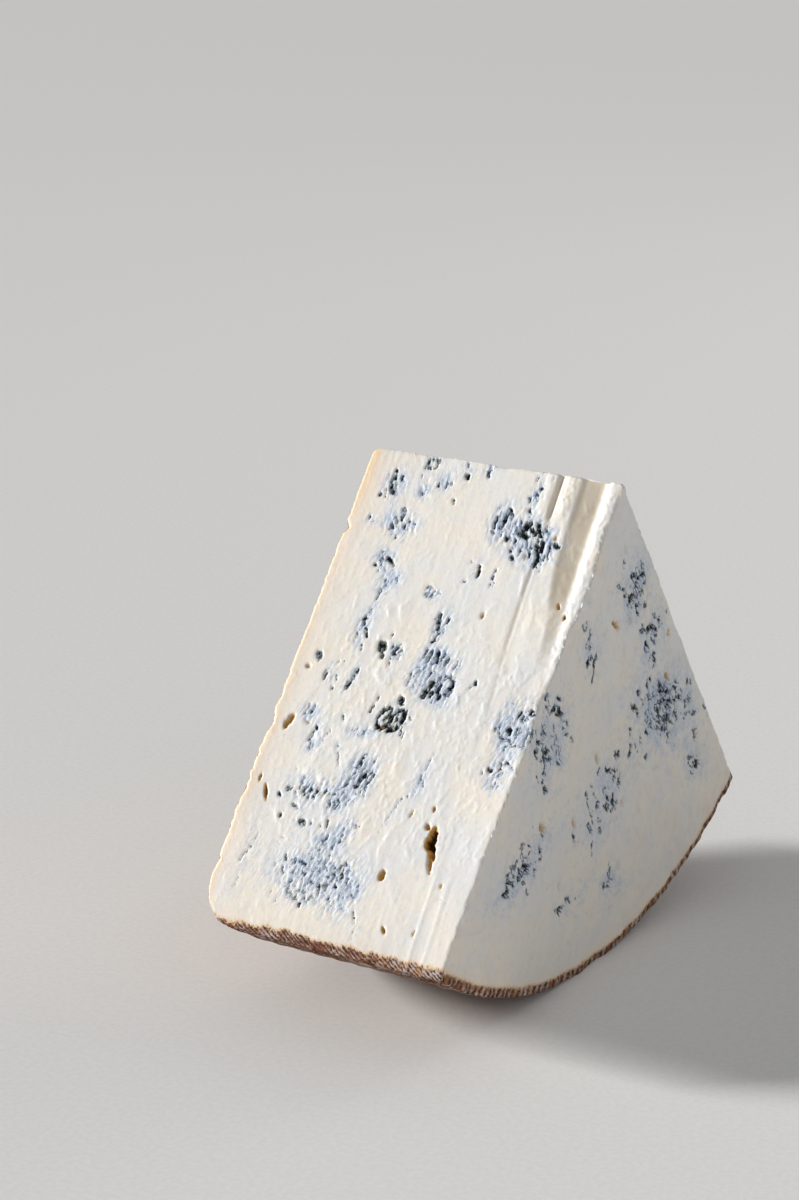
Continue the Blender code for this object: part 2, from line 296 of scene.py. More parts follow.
    (11.6, 98.2, -0.2, 0.8, 0.7, 0.55, 0.4), (17.2, 98.2, -0.7, 1.8, 0.8, 0.65, 0.3),
    (18.8, 98.8, 0.1, 0.4, 0.7, 0.8, 0.3), (18.3, 100.4, 0.1, 0.3, 0.7, 0.8, 0.3),
    (15.5, 100.3, 0.8, 0.2, 0.6, 0.5, 0.3), (8.4, 101.6, 0.3, 0.3, 0.9, 0.85, 0.4),
    (13.2, 103.5, 1.6, 0.5, 1.0, 0.7, 0.2), (10.8, 106.7, 0.3, 0.7, 0.9, 0.9, 0.5),
    (17.7, 107.6, 0.4, 0.4, 1.7, 1.0, 0.7), (20.3, 106.8, 0.1, 0.8, 0.7, 0.55, 0.4),
    (23.2, 107.5, 0.1, 0.4, 0.8, 0.75, 0.5), (24.9, 105.8, 0.1, 2.2, 0.8, 0.85, 0.3),
    (33.0, 105.2, 0.2, 0.2, 0.9, 0.85, 0.2), (31.9, 106.2, -0.4, 0.7, 0.6, 0.7, 0.1),
    (30.0, 108.8, 0, 2.2, 0.8, 0.7, 0.1), (26.1, 109.8, -0.7, 2.4, 0.8, 0.65, 0.1),
    (28.6, 111.6, -0.2, 1.0, 0.6, 0.5, 0.1), (13.0, 113.0, 1.2, -0.3, 0.6, 0.45, 0.6),
    (12.6, 114.2, 1.2, 0.6, 0.6, 0.45, 0.6), (16.4, 117.2, 0.3, 1.0, 0.7, 0.6, 0.3),
    (18.6, 118.0, 1.0, -0.1, 0.9, 0.7, 0.1), (21.2, 117.8, 1.3, 0.4, 0.9, 0.85, 0.2),
    (16.6, 120.6, 0.6, 1.2, 0.7, 0.7, 0.3), (14.3, 120.0, 0.2, 0.3, 0.6, 0.6, 0.4),
    (20.0, 123.8, 0.5, -0.3, 0.9, 0.8, 0.2), (23.3, 120.3, 0.2, 0.9, 0.8, 0.9, 0.3),
    (26.0, 122.2, 0.1, 0.8, 0.8, 0.9, 0.3), (27.0, 119.2, 1.4, -1.6, 0.7, 0.8, 0.2),
    (28.5, 122.8, 0.1, 1.0, 0.8, 0.9, 0.3), (31.2, 117.2, 0.2, 1.6, 0.8, 1.0, 0.4),
    (33.4, 116.4, 0.3, 2.8, 0.8, 0.75, 0.1), (33.0, 121.8, 0.2, 0.6, 0.7, 0.85, 0.3),
    (31.2, 120.6, 0.4, 0.9, 0.6, 0.65, 0.2), (35.6, 119.2, 0.4, 1.8, 0.6, 0.6, 0.1),
    (32.2, 125.5, 0.2, 0.5, 0.8, 0.9, 0.4), (26.2, 126.8, 2.0, -0.4, 0.6, 0.7, 0.4),
    (24.7, 128.6, 0.1, 0.6, 0.8, 0.8, 0.4), (22.4, 127.8, 0.8, -0.2, 0.6, 0.6, 0.5),
    (15.8, 127.2, 0.8, -1.2, 0.5, 0.5, 0.4), (38.4, 123.4, 0.3, 0.6, 0.7, 0.6, 0.3),
    (36.9, 125.8, -0.4, 3.0, 0.5, 0.45, 0.0), (40.3, 127.2, 1.3, 3.0, 0.5, 0.75, 0.9),
    (22.4, 124.6, 0.4, 1.0, 0.5, 0.55, 0.2), (30.0, 119.4, 0.3, 0.7, 0.5, 0.55, 0.1),
    (5.7, 116.8, 0.3, 0.4, 0.8, 0.45, 0.4), (6.6, 112.5, -0.5, 4.0, 0.5, 0.35, 0.2),
    (5.6, 119.5, -0.8, 5.0, 0.5, 0.3, 0.1), (61.9, 118.7, 0.3, 0.3, 0.8, 0.5, 0.8),
    (64.2, 119.6, 0.1, 0.3, 0.6, 0.5, 0.7), (18.0, 129.3, 0.4, 0.5, 0.5, 0.55, 1.0),
]

# Rings of mould round a filled eye: (x, r, half width, half length, tilt, darkness,
# greenness)
RINGS = [
    (30.6, 75.6, 1.7, 2.9, 0.20, 0.95, 0.9), (34.0, 75.5, 1.5, 3.0, 0.35, 0.9, 0.8),
    (33.5, 118.0, 0.9, 1.9, 0.10, 0.7, 0.1), (19.1, 2.7, 1.3, 1.5, 0.60, 0.6, 0.6),
    (44.2, 63.6, 2.4, 2.8, 0.50, 0.6, 0.1), (16.6, 99.4, 1.5, 1.2, 0.30, 0.5, 0.4),
    (22.6, 126.2, 1.1, 1.5, 0.20, 0.5, 0.4), (30.6, 39.0, 1.6, 1.2, 0.90, 0.4, 0.1),
]

# Pale blue staining round the veins: (x, r, half width, half length, tilt, strength)
STAINS = [
    (10.0, 10.5, 3.4, 4.6, 0.0, 0.6), (19.2, 2.5, 2.6, 2.2, 0.3, 0.5),
    (22.0, 6.5, 8.0, 5.0, 0.1, 0.22),
    (30.0, 3.0, 2.4, 2.4, 0.0, 0.45), (24.6, 7.5, 1.8, 2.6, 0.0, 0.55),
    (19.2, 10.5, 2.2, 3.0, 0.0, 0.55), (36.2, 2.0, 1.6, 2.0, 0.0, 0.5),
    (16.0, 21.5, 5.0, 3.8, 0.1, 0.7), (6.6, 21.6, 1.6, 1.6, 0.0, 0.5),
    (14.6, 32.0, 3.2, 3.4, 0.0, 0.6), (18.6, 38.5, 3.2, 3.6, 0.3, 0.65),
    (32.6, 39.4, 3.0, 1.9, 0.1, 0.5), (41.5, 30.5, 2.6, 3.2, 0.0, 0.3),
    (47.6, 31.5, 1.4, 3.0, 0.1, 0.3), (44.4, 15.6, 3.0, 5.6, 0.1, 0.8),
    (54.5, 20.0, 7.4, 6.6, 0.4, 0.85), (52.0, 6.0, 2.4, 5.4, 0.1, 0.55),
    (15.6, 51.5, 2.4, 6.4, 0.1, 0.55), (27.6, 57.0, 3.0, 2.6, 0.0, 0.75),
    (37.6, 48.0, 2.4, 4.8, 0.1, 0.75), (39.2, 56.5, 3.8, 3.4, 0.0, 0.85),
    (41.4, 64.5, 6.0, 4.6, 0.5, 0.8), (34.2, 63.5, 2.2, 3.6, 0.0, 0.4),
    (45.4, 57.0, 1.5, 2.8, 0.0, 0.35), (11.2, 66.5, 2.4, 3.6, 0.0, 0.5),
    (17.4, 67.0, 1.5, 4.4, 0.2, 0.5), (5.8, 62.2, 1.4, 1.4, 0.0, 0.4),
    (33.0, 75.0, 4.6, 4.0, 0.1, 0.6), (8.6, 78.0, 2.8, 2.8, 0.2, 0.6),
    (67.0, 70.5, 5.2, 6.6, 0.1, 0.85), (66.5, 83.5, 3.6, 4.8, 0.1, 0.7),
    (12.6, 84.5, 2.8, 4.4, 0.1, 0.55), (25.4, 80.4, 5.0, 1.8, -0.1, 0.55),
    (20.6, 86.0, 1.6, 1.8, 0.0, 0.35), (29.2, 92.5, 4.2, 6.0, 0.3, 0.9),
    (25.4, 99.5, 2.8, 4.4, 0.2, 0.75), (46.2, 90.5, 1.5, 5.0, 0.15, 0.45),
    (41.6, 99.5, 0.9, 6.0, 0.3, 0.3), (15.4, 99.0, 5.0, 4.6, 0.2, 0.6),
    (20.5, 97.5, 2.4, 2.2, 0.0, 0.5), (29.5, 109.0, 3.0, 5.4, 0.6, 0.8),
    (25.5, 111.5, 4.0, 2.2, 0.0, 0.55), (18.0, 108.5, 3.0, 2.6, 0.0, 0.35),
    (26.5, 121.0, 11.5, 7.0, -0.1, 0.95), (36.4, 123.0, 3.6, 7.0, 0.2, 0.75),
    (6.0, 117.0, 2.6, 9.0, 0.1, 0.4), (42.0, 132.5, 1.8, 2.6, 0.0, 0.3),
]

# Eyes: (x, r, half width, half length, tilt, depth, brownness)
EYES = [
    (54.8, 104.2, 1.3, 3.2, -0.08, 3.4, 1.0), (56.0, 107.6, 1.0, 2.2, -0.3, 2.4, 0.6),
    (56.4, 111.0, 0.7, 2.2, -0.35, 1.2, 0.35), (52.6, 101.4, 0.6, 0.9, -0.2, 0.9, 0.5),
    (44.6, 116.4, 0.9, 1.4, 0.1, 1.1, 0.45), (48.0, 42.6, 0.5, 1.0, 0.1, 0.6, 0.3),
    (3.8, 65.8, 1.1, 0.7, 0.0, 0.6, 0.28), (3.6, 82.0, 0.9, 2.6, 0.35, 1.1, 0.42),
    (4.5, 102.0, 0.45, 2.2, -0.35, 1.4, 0.9), (1.4, 98.4, 0.4, 1.2, 0.0, 0.9, 0.7),
    (50.0, 130.0, 0.45, 1.0, -0.6, 0.7, 0.6), (52.7, 96.4, 0.35, 0.9, 0.0, 0.6, 0.7),
    (31.0, 78.2, 0.4, 0.4, 0.0, 0.6, 0.8), (60.9, 18.0, 0.6, 0.6, 0.0, 0.5, 0.4),
    (67.8, 36.4, 0.4, 0.9, -0.4, 0.6, 0.6), (70.4, 39.0, 0.4, 0.8, 0.0, 0.7, 0.9),
    (61.4, 115.6, 0.4, 0.6, 0.0, 0.4, 0.4), (47.0, 99.0, 0.3, 1.2, 0.2, 0.4, 0.4),
    (58.3, 129.0, 0.35, 0.9, 0.2, 0.4, 0.35), (9.3, 80.9, 0.9, 0.4, 0.2, 0.4, 0.3),
]


def stroke_field(x, r, strokes):
    """(darkness, greenness) at each point.

    Each stroke gives its darkness times a smooth fall from 1 inside its width to 0, and
    the darkest stroke wins. Its greenness is taken where it wins.
    """
    dark = np.zeros(x.shape)
    green = np.zeros(x.shape)
    for sx, sr, dx, dr, width, strength, tint in strokes:
        length = max(dx * dx + dr * dr, 1e-6)
        along = np.clip(((x - sx) * dx + (r - sr) * dr) / length, 0, 1)
        off = np.hypot(x - sx - along * dx, r - sr - along * dr)
        here = strength * (1 - smooth(width * 0.25, width * 0.95, off))
        green = np.where(here > dark, tint, green)
        dark = np.maximum(dark, here)
    return dark, green


def ring_field(x, r, rings, dark, green):
    """Adds rings to (darkness, greenness): a hump across each oval's outline."""
    for cx, cr, wide, long, tilt, strength, tint in rings:
        far = (oval_distance(x, r, cx, cr, wide, long, tilt) - 1) * min(wide, long)
        here = strength * bell(far / 0.5)
        green = np.where(here > dark, tint, green)
        dark = np.maximum(dark, here)
    return dark, green


def oval_distance(x, r, cx, cr, wide, long, tilt):
    """Distance from an oval's centre as a share of its size, its long side turned by tilt."""
    dx, dr = x - cx, r - cr
    across = dx * math.cos(tilt) + dr * math.sin(tilt)
    along = -dx * math.sin(tilt) + dr * math.cos(tilt)
    return np.hypot(across / wide, along / long)


def stain_field(x, r, stains):
    """How strongly the paste is stained blue: 1 - (1 - a)(1 - b)... over soft ovals."""
    clear = np.ones(x.shape)
    for cx, cr, wide, long, tilt, strength in stains:
        far = oval_distance(x, r, cx, cr, wide, long, tilt)
        clear = clear * (1 - strength * (1 - smooth(0.20, 1.95, far)))
    return 1 - clear


def eye_field(x, r, eyes):
    """(depth, brownness) of the open eyes: each sinks by its depth inside a ragged oval."""
    depth = np.zeros(x.shape)
    brown = np.zeros(x.shape)
    ragged = 0.75 * fbm(x / 1.4, r / 1.9, 3.3, 61, 4, 0.6)
    for cx, cr, wide, long, tilt, deep, brownness in eyes:
        far = oval_distance(x, r, cx, cr, wide, long, tilt) + ragged
        depth = np.maximum(depth, deep * (1 - smooth(0.55, 1.15, far)))
        brown = np.maximum(brown, brownness * (1 - smooth(0.6, 1.5, far)))
    return depth, brown


def scattered_strokes(seed, count, low, high, slant):
    """Random short strokes between two corners, leaning by slant: the same on each run."""
    random = np.random.default_rng(seed)
    x = random.uniform(low[0], high[0], count)
    r = random.uniform(low[1], high[1], count)
    length = random.gamma(2.0, 0.7, count)
    lean = slant + random.normal(0, 0.35, count)
    width = random.uniform(0.4, 1.1, count)
    dark = random.uniform(0.4, 1.0, count) ** 0.8
    green = random.beta(1.5, 3.0, count)
    dx, dr = -np.sin(lean) * length, np.cos(lean) * length
    return np.stack([x, r, dx, dr, width, dark, green], axis=1)


def clustered_strokes(seed, stains, per_area, slant):
    """Random strokes inside each stain, about per_area of them to a square millimetre."""
    random = np.random.default_rng(seed)
    rows = []
    for number, (cx, cr, wide, long, tilt, strength) in enumerate(stains):
        count = max(1, int(wide * long * math.pi * per_area * strength))
        spread = random.normal(0, 0.45, (count, 2)) * (wide, long)
        fine = scattered_strokes(seed + number + 1, count, (0, 0), (0.1, 0.1), slant)
        fine[:, 0] = cx + spread[:, 0] * math.cos(tilt) - spread[:, 1] * math.sin(tilt)
        fine[:, 1] = cr + spread[:, 0] * math.sin(tilt) + spread[:, 1] * math.cos(tilt)
        rows.append(fine)
    return np.concatenate(rows)


def flaps(x, r, seed, count, low, high, tallest):
    """Height of curled smears: each is an arc whose outer side drops at once and whose
    inner side falls away gently, faded towards the arc's two ends."""
    random = np.random.default_rng(seed)
    height = np.zeros(x.shape)
    for _ in range(count):
        cx, cr = random.uniform(low[0], high[0]), random.uniform(low[1], high[1])
        radius = random.gamma(2.2, 0.75) + 0.6
        facing = random.normal(2.4, 0.9)
        reach = random.uniform(0.5, 1.1)
        tall = tallest * random.uniform(0.35, 1.0)
        stretch = random.uniform(1.0, 2.2)
        dx, dr = x - cx, (r - cr) / stretch
        off = np.hypot(dx, dr) - radius
        turn = np.angle(np.exp(1j * (np.arctan2(dr, dx) - facing)))
        window = bell(turn / reach)
        edge = np.where(off < 0, np.exp(off / (0.45 * radius)), bell(off / 0.22))
        height = np.maximum(height, tall * window * edge)
    return height


def front_relief(x, r):
    """Height of the front over its flat cut, in mm: the sum of slow swells, the knife's
    groove and channel, smear lines, curled flaps, whorls and flakes; the hollows of veins and eyes are sunk
    by build_long_cut."""
    warp_x = x + 1.1 * fbm(x / 3.0, r / 3.4, 1.5, 5, 3, 0.6)
    warp_r = r + 1.5 * fbm(x / 3.0, r / 3.4, 7.5, 6, 3, 0.6)
    swell = 0.40 * fbm(x / 34, r / 40, 0.4, 11, 3)
    drift = x + 1.2 * noise(x / 30, r / 38, 2.2, 12)
    smear = 0.060 * fbm(drift / 1.9, r / 30, 0.7, 13, 3)
    smear += 0.018 * fbm(drift / 0.7, r / 19, 4.7, 14, 2)
    lumps = 0.05 * fbm(x / 4.2, r / 6.0, 3.7, 15, 3)
    groove_x = 57.2 + 0.9 * smooth(48, 78, r) + 0.15 * noise(r / 7, 0.5, 0.5, 16)
    deep_part = 1 - smooth(9, 16, r)
    faint_part = smooth(24, 28, r) * (1 - smooth(36, 70, r))
    groove = -(0.80 * deep_part + 0.24 * faint_part) * bell((x - groove_x) / 0.50)
    groove += 0.34 * deep_part * bell((x - groove_x + 2.4) / 1.9)
    beyond = x - groove_x
    ledge = -0.16 * smooth(-0.3, 0.5, beyond) * (1 - smooth(1.5, 6.0, beyond))
    ledge *= 1 - smooth(55, 85, r)
    ridge = 0.50 * bell((x - 60.4) / 2.1) * (1 - smooth(7, 17, r))
    ridge *= 1 + 1.5 * fbm(x / 1.2, r / 1.7, 0.2, 17, 4, 0.65)
    channel_left = 62.9 + 4.0 * smooth(22, 48, r) + 0.2 * noise(r / 5, 0.5, 3.5, 19)
    channel_right = 69.0 + 0.9 * smooth(20, 50, r) + 0.25 * noise(r / 6, 1.5, 0.5, 18)
    into = np.clip((x - channel_left) / (channel_right - channel_left), 0, 1)
    wall = smooth(-0.3, 1.9, x - channel_left)
    rise = 1 - smooth(-0.9, 3.4, x - channel_right)
    channel = -(0.26 * wall + 1.00 * into) * rise
    channel *= (1 - 0.55 * smooth(22, 42, r)) * (1 - smooth(44, 58, r))
    rim = 0.20 * bell((x - 72.6) / 1.6)
    rim += 0.62 * bell((x - 71.8) / 2.4) * fbm(x / 1.0, r / 1.5, 0.2, 20, 4, 0.65)
    channel += rim * (1 - smooth(48, 62, r))
    shelf = -0.35 * smooth(57, 62, r) * smooth(60, 66, x) * (1 - smooth(74, 92, r))
    low_lines = 0.12 * bell((x - 59.3) / 0.5) + 0.10 * bell((x - 63.4) / 0.6)
    low_lines *= smooth(108, 118, r)
    low_lines += 0.035 * np.maximum(x - 61.5, 0) * smooth(56, 74, r)
    worked = smooth(42, 56, r) * (1 - smooth(104, 120, r)) * smooth(8, 16, x)
    worked = np.maximum(worked, 0.45 * (1 - smooth(66, 80, x)))
    curls = flaps(warp_x, warp_r, 21, 90, (12, 44), (54, 112), 0.20)
    curls += flaps(warp_x, warp_r, 22, 40, (4, 4), (72, 136), 0.12)
    curls += flaps(warp_x, warp_r, 23, 30, (59, 6), (72, 56), 0.20)
    lean = x + 0.28 * np.maximum(r - 25, 0)
    folds = 1 - np.abs(fbm(lean / 4.2, r / 6.4, 0.5, 25, 3, 0.6))
    whorls = 0.15 * np.clip((folds - 0.91) / 0.09, 0, 1) ** 2
    flakes = 0.050 * smooth(0.27, 0.33, fbm(lean / 1.7, r / 5.2, 0.5, 26, 4, 0.6))
    flakes += 0.15 * smooth(0.40, 0.45, fbm(x / 1.2, r / 1.5, 3.5, 27, 3, 0.6))
    grain = 0.012 * fbm(x / 0.9, r / 1.1, 5.1, 24, 2)
    detail = curls + grain + worked * (whorls + flakes)
    return swell + smear + lumps + groove + ledge + ridge + channel + shelf + low_lines + (
        detail - 0.25
    )


def broken_up(dark, stain, lean_x, x, r, seed):
    """Breaks smooth veins into ragged grains, and tears the paste round them.

    Returns (darkness, stain, hollow). Grain noise of under a millimetre is added to the
    darkness, streak noise stretched along the veins is cut at a level inside the stain,
    and the hollow follows the result, less the crumbs and cracks torn round it.
    """
    grain = fbm(x / 0.95, r / 1.2, 0.5, seed, 3, 0.6)
    streak = fbm(lean_x / 0.85, r / 4.2, 0.5, seed + 1, 3, 0.6)
    patch = fbm(x / 3.2, r / 4.4, 0.5, seed + 2, 3)
    near, next_near = cells(lean_x / 1.2 + 0.5 * grain, r / 2.9 + 0.35 * grain, seed + 4)
    crack = 1 - smooth(0.04, 0.34, next_near - near)
    specks = smooth(0.10, 0.42, 0.5 * grain + 0.55 * streak + 0.22 * (crack - 0.4))
    inside = smooth(0.15, 0.75, stain)
    ragged = dark * np.clip(0.66 + 1.0 * grain + 0.55 * crack, 0, 1.2)
    dark = np.clip(np.maximum(ragged, 0.36 * specks * inside), 0, 1)
    stain = np.clip(stain * (0.95 + 0.9 * patch) + 0.5 * inside * streak, 0, 1)
    crumb = (0.5 - near) * smooth(0.1, 0.6, stain)
    torn = 0.42 * crumb + inside * (0.15 * grain - 0.20 * crack - 0.05)
    hollow = 1.15 * dark**1.8 - torn
    return dark, stain, hollow


def front_marks(x, r):
    """The front's colour fields and the depth of its hollows."""
    wander_x = x + 0.52 * fbm(x / 1.5, r / 1.9, 0.3, 31, 4, 0.6)
    wander_r = r + 0.80 * fbm(x / 1.5, r / 1.9, 8.3, 32, 4, 0.6)
    extra = clustered_strokes(35, STAINS, 0.10, 0.15)
    extra[:, 4] *= 0.7
    extra[:, 5] *= 0.6
    strokes = np.concatenate([np.array(STROKES, dtype=float), extra])
    drawn_out = np.hypot(strokes[:, 2], strokes[:, 3]) > 1.9
    strokes[:, 4] *= np.where(drawn_out, 0.78, 0.92)
    dark, green = stroke_field(wander_x, wander_r, strokes)
    dark, green = ring_field(wander_x, wander_r, RINGS, dark, green)
    stain = stain_field(wander_x, wander_r, STAINS)
    dark = dark * (1 - 0.16 * smooth(78, 90, r) - 0.12 * smooth(100, 118, r))
    stain = stain * (1 - 0.22 * smooth(100, 118, r))
    lean_x = x + 0.28 * np.maximum(r - 25, 0)
    dark, stain, hollow = broken_up(dark, stain, lean_x, x, r, 36)
    eye_depth, brown = eye_field(x, r, EYES)
    hollow = np.maximum(hollow, eye_depth)
    return {
        "stain": stain, "dark": dark, "green": green, "brown": brown, "hollow": hollow,
        "across": lean_x, "along": r,
    }


# ---------------------------------------------------------------- the other cut faces

# Veined zones of the halving cut: (y, height, half width, half length, tilt, strength)
HALVING_ZONES = [
    (14.0, 104.0, 8.0, 10.0, 0.3, 0.9), (26.0, 88.0, 7.0, 9.0, -0.4, 0.7),
    (36.0, 64.0, 19.0, 11.0, -0.3, 0.95), (-30.0, 74.0, 10.0, 12.0, 0.2, 0.8),
    (-42.0, 42.0, 15.0, 6.0, 0.35, 0.8), (10.0, 21.0, 7.0, 5.0, 0.0, 0.7),
    (2.0, 48.0, 14.0, 10.0, 0.5, 0.6), (58.0, 42.0, 9.0, 5.0, -0.6, 0.7),
    (-10.0, 94.0, 6.0, 8.0, 0.0, 0.5), (-14.0, 24.0, 10.0, 4.0, 0.2, 0.5),
]

# Veined zones of the back: (x, r, half width, half length, tilt, strength)
BACK_ZONES = [
    (14.0, 16.0, 6.0, 6.0, 0.2, 0.8), (48.0, 22.0, 9.0, 7.0, -0.3, 0.85),
    (30.0, 40.0, 5.0, 8.0, 0.2, 0.7), (60.0, 54.0, 6.0, 9.0, 0.1, 0.8),
    (22.0, 66.0, 8.0, 7.0, 0.4, 0.85), (44.0, 76.0, 7.0, 5.0, -0.2, 0.7),
    (12.0, 92.0, 4.0, 8.0, 0.0, 0.7), (34.0, 100.0, 9.0, 7.0, 0.3, 0.9),
    (58.0, 98.0, 6.0, 6.0, 0.0, 0.6), (46.0, 122.0, 10.0, 5.0, 0.1, 0.8),
    (18.0, 118.0, 6.0, 5.0, 0.2, 0.7), (66.0, 78.0, 3.0, 6.0, 0.0, 0.6),
]


def zone_marks(a, b, zones, seed, slant):
    """Colour fields and hollows of a cut face whose veins are scattered in zones."""
    wander_a = a + 4.5 * fbm(a / 10, b / 10, 0.3, seed, 5, 0.55)
    wander_b = b + 4.5 * fbm(a / 10, b / 10, 8.3, seed + 1, 5, 0.55)
    strokes = clustered_strokes(seed + 2, zones, 0.15, slant)
    strokes[:, 4] *= 1.4
    strokes[:, 5] *= 0.88
    dark, green = stroke_field(wander_a, wander_b, strokes)
    patchy = 0.55 + 0.45 * fbm(a / 5, b / 5, 2.0, seed + 3, 3)
    stain = stain_field(wander_a, wander_b, zones) * np.clip(patchy + 0.2, 0, 1)
    random = np.random.default_rng(seed + 4)
    centres = np.array(zones)[:, :2]
    low, high = centres.min(axis=0), centres.max(axis=0)
    eyes = [
        (
            random.uniform(low[0], high[0]), random.uniform(low[1], high[1]),
            random.uniform(0.5, 1.3), random.uniform(0.8, 2.4),
            random.normal(slant, 0.4), random.uniform(0.9, 2.4),
            random.uniform(0.15, 0.45),
        )
        for _ in range(11)
    ]
    eye_depth, brown = eye_field(a, b, eyes)
    lean_a = a * math.cos(slant) + b * math.sin(slant)
    lean_b = b * math.cos(slant) - a * math.sin(slant)
    dark, stain, hollow = broken_up(dark, stain, lean_a, lean_a, lean_b, seed + 5)
    hollow = np.maximum(hollow, eye_depth)
    return {
        "stain": stain, "dark": dark, "green": green, "brown": brown, "hollow": hollow,
        "across": lean_a, "along": lean_b,
    }


def torn_relief(a, b, seed, height):
    """Height of a cut that crumbled: lumps with ragged plateaus, pits and fine grain."""
    wander = fbm(a / 9, b / 9, 0.5, seed, 3)
    lumps = fbm(a / 6.5 + wander, b / 6.5 - wander, 1.5, seed + 1, 5, 0.55)
    plateau = np.tanh(3.2 * lumps) * 0.45 + lumps * 0.7
    pits = np.clip(-fbm(a / 1.9, b / 1.9, 2.5, seed + 2, 3) - 0.22, 0, 1)
    slow = fbm(a / 32, b / 32, 3.5, seed + 3, 2)
    return height * (0.62 * plateau + 0.75 * slow) - 2.3 * height * pits


def halving_relief(y, z):
    """Height of the halving cut: it crumbled, and it bulges by the front's upper edge."""
    lip = 0.9 * bell((y + 15) / 9) * bell((z + 27) / 14)
    lip -= 0.9 * bell((y + 37) / 6) * bell((z + 54) / 7)
    lip -= 0.9 * bell((y + 7) / 2) * bell((z + 14) / 3)
    lip += 0.5 * bell((y + 31) / 5) * bell((z + 46) / 6)
    to_front = y * math.cos(HALF_ANGLE) - z * math.sin(HALF_ANGLE)
    down = -y * math.sin(HALF_ANGLE) - z * math.cos(HALF_ANGLE)
    lip += 0.7 * bell((to_front - 1) / 3.5) * smooth(18, 26, down) * (1 - smooth(50, 58, down))
    across = (y * 0.61 - z * 0.79) / 24
    along = (y * 0.79 + z * 0.61) / 1.9
    drag = 0.16 * fbm(across, along, 0.5, 47, 3)
    broken = 0.6 * fbm(y / 2.4, z / 2.4, 0.5, 48, 3, 0.6) * bell((to_front - 1) / 4)
    return torn_relief(y, z, 41, 0.85) + lip + drag + broken - 0.30


def back_relief(x, r):
    """Height of the back cut: knife drag along it, and a few crumbled spots."""
    drag = 0.12 * fbm(x / 1.8, r / 30, 0.7, 53, 3)
    curls = flaps(x, r, 54, 60, (6, 6), (68, 132), 0.35)
    return 0.30 * torn_relief(x, r, 55, 1.0) + drag + curls - 0.25


# ---------------------------------------------------------------- the wheel's outside


def wheel_profile():
    """(length, x, radius) along the rind's section, from the axis to the middle of the side.

    The flat rind swells by RIM_SWELL * (radius / FLAT_END) ^ RIM_SWELL_POWER, a quarter
    circle turns the shoulder, and the side swells by SIDE_SWELL * (1 - (1 - s)^2).
    """
    radius = np.linspace(0, FLAT_END, 200)
    x = -RIM_SWELL * (radius / FLAT_END) ** RIM_SWELL_POWER
    turn = np.linspace(0, math.pi / 2, 60)[1:]
    shoulder_x = -RIM_SWELL + SHOULDER * (1 - np.cos(turn))
    shoulder_radius = FLAT_END + SHOULDER * np.sin(turn)
    share = np.linspace(0, 1, 80)[1:]
    side_x = shoulder_x[-1] + (BELLY_X + 4 - shoulder_x[-1]) * share
    side_radius = SIDE_RADIUS + SIDE_SWELL * (1 - (1 - share) ** 2)
    xs = np.concatenate([x, shoulder_x, side_x])
    radii = np.concatenate([radius, shoulder_radius, side_radius])
    length = np.concatenate([[0], np.cumsum(np.hypot(np.diff(xs), np.diff(radii)))])
    return length, xs, radii


PROFILE = wheel_profile()
SHOULDER_MIDDLE = float(np.interp(FLAT_END, PROFILE[2], PROFILE[0])) + SHOULDER * math.pi / 4


def on_profile(length):
    """x, radius and outward normal of the rind's section at each length along it."""
    step = 0.4
    x = np.interp(length, PROFILE[0], PROFILE[1])
    radius = np.interp(length, PROFILE[0], PROFILE[2])
    ahead, behind = length + step, np.maximum(length - step, 0)
    run = np.interp(ahead, PROFILE[0], PROFILE[1]) - np.interp(behind, PROFILE[0], PROFILE[1])
    rise = np.interp(ahead, PROFILE[0], PROFILE[2]) - np.interp(behind, PROFILE[0], PROFILE[2])
    size = np.hypot(run, rise)
    return x, radius, -rise / size, run / size


def length_at_x(x):
    """Length along the section at which the side reaches x."""
    side = PROFILE[1] > 9.0
    return np.interp(x, PROFILE[1][side], PROFILE[0][side])


def mat_phase(length, angle):
    """Phase of the mat's ribs, MAT_RIB apart along the rim and slanting under it."""
    arc = angle * RIM_RADIUS
    wander = 0.30 * fbm(length / 9, arc / 14, 0.5, 71, 2)
    return (length - 0.6 * arc + 4.4 * wander) * 2 * math.pi / MAT_RIB


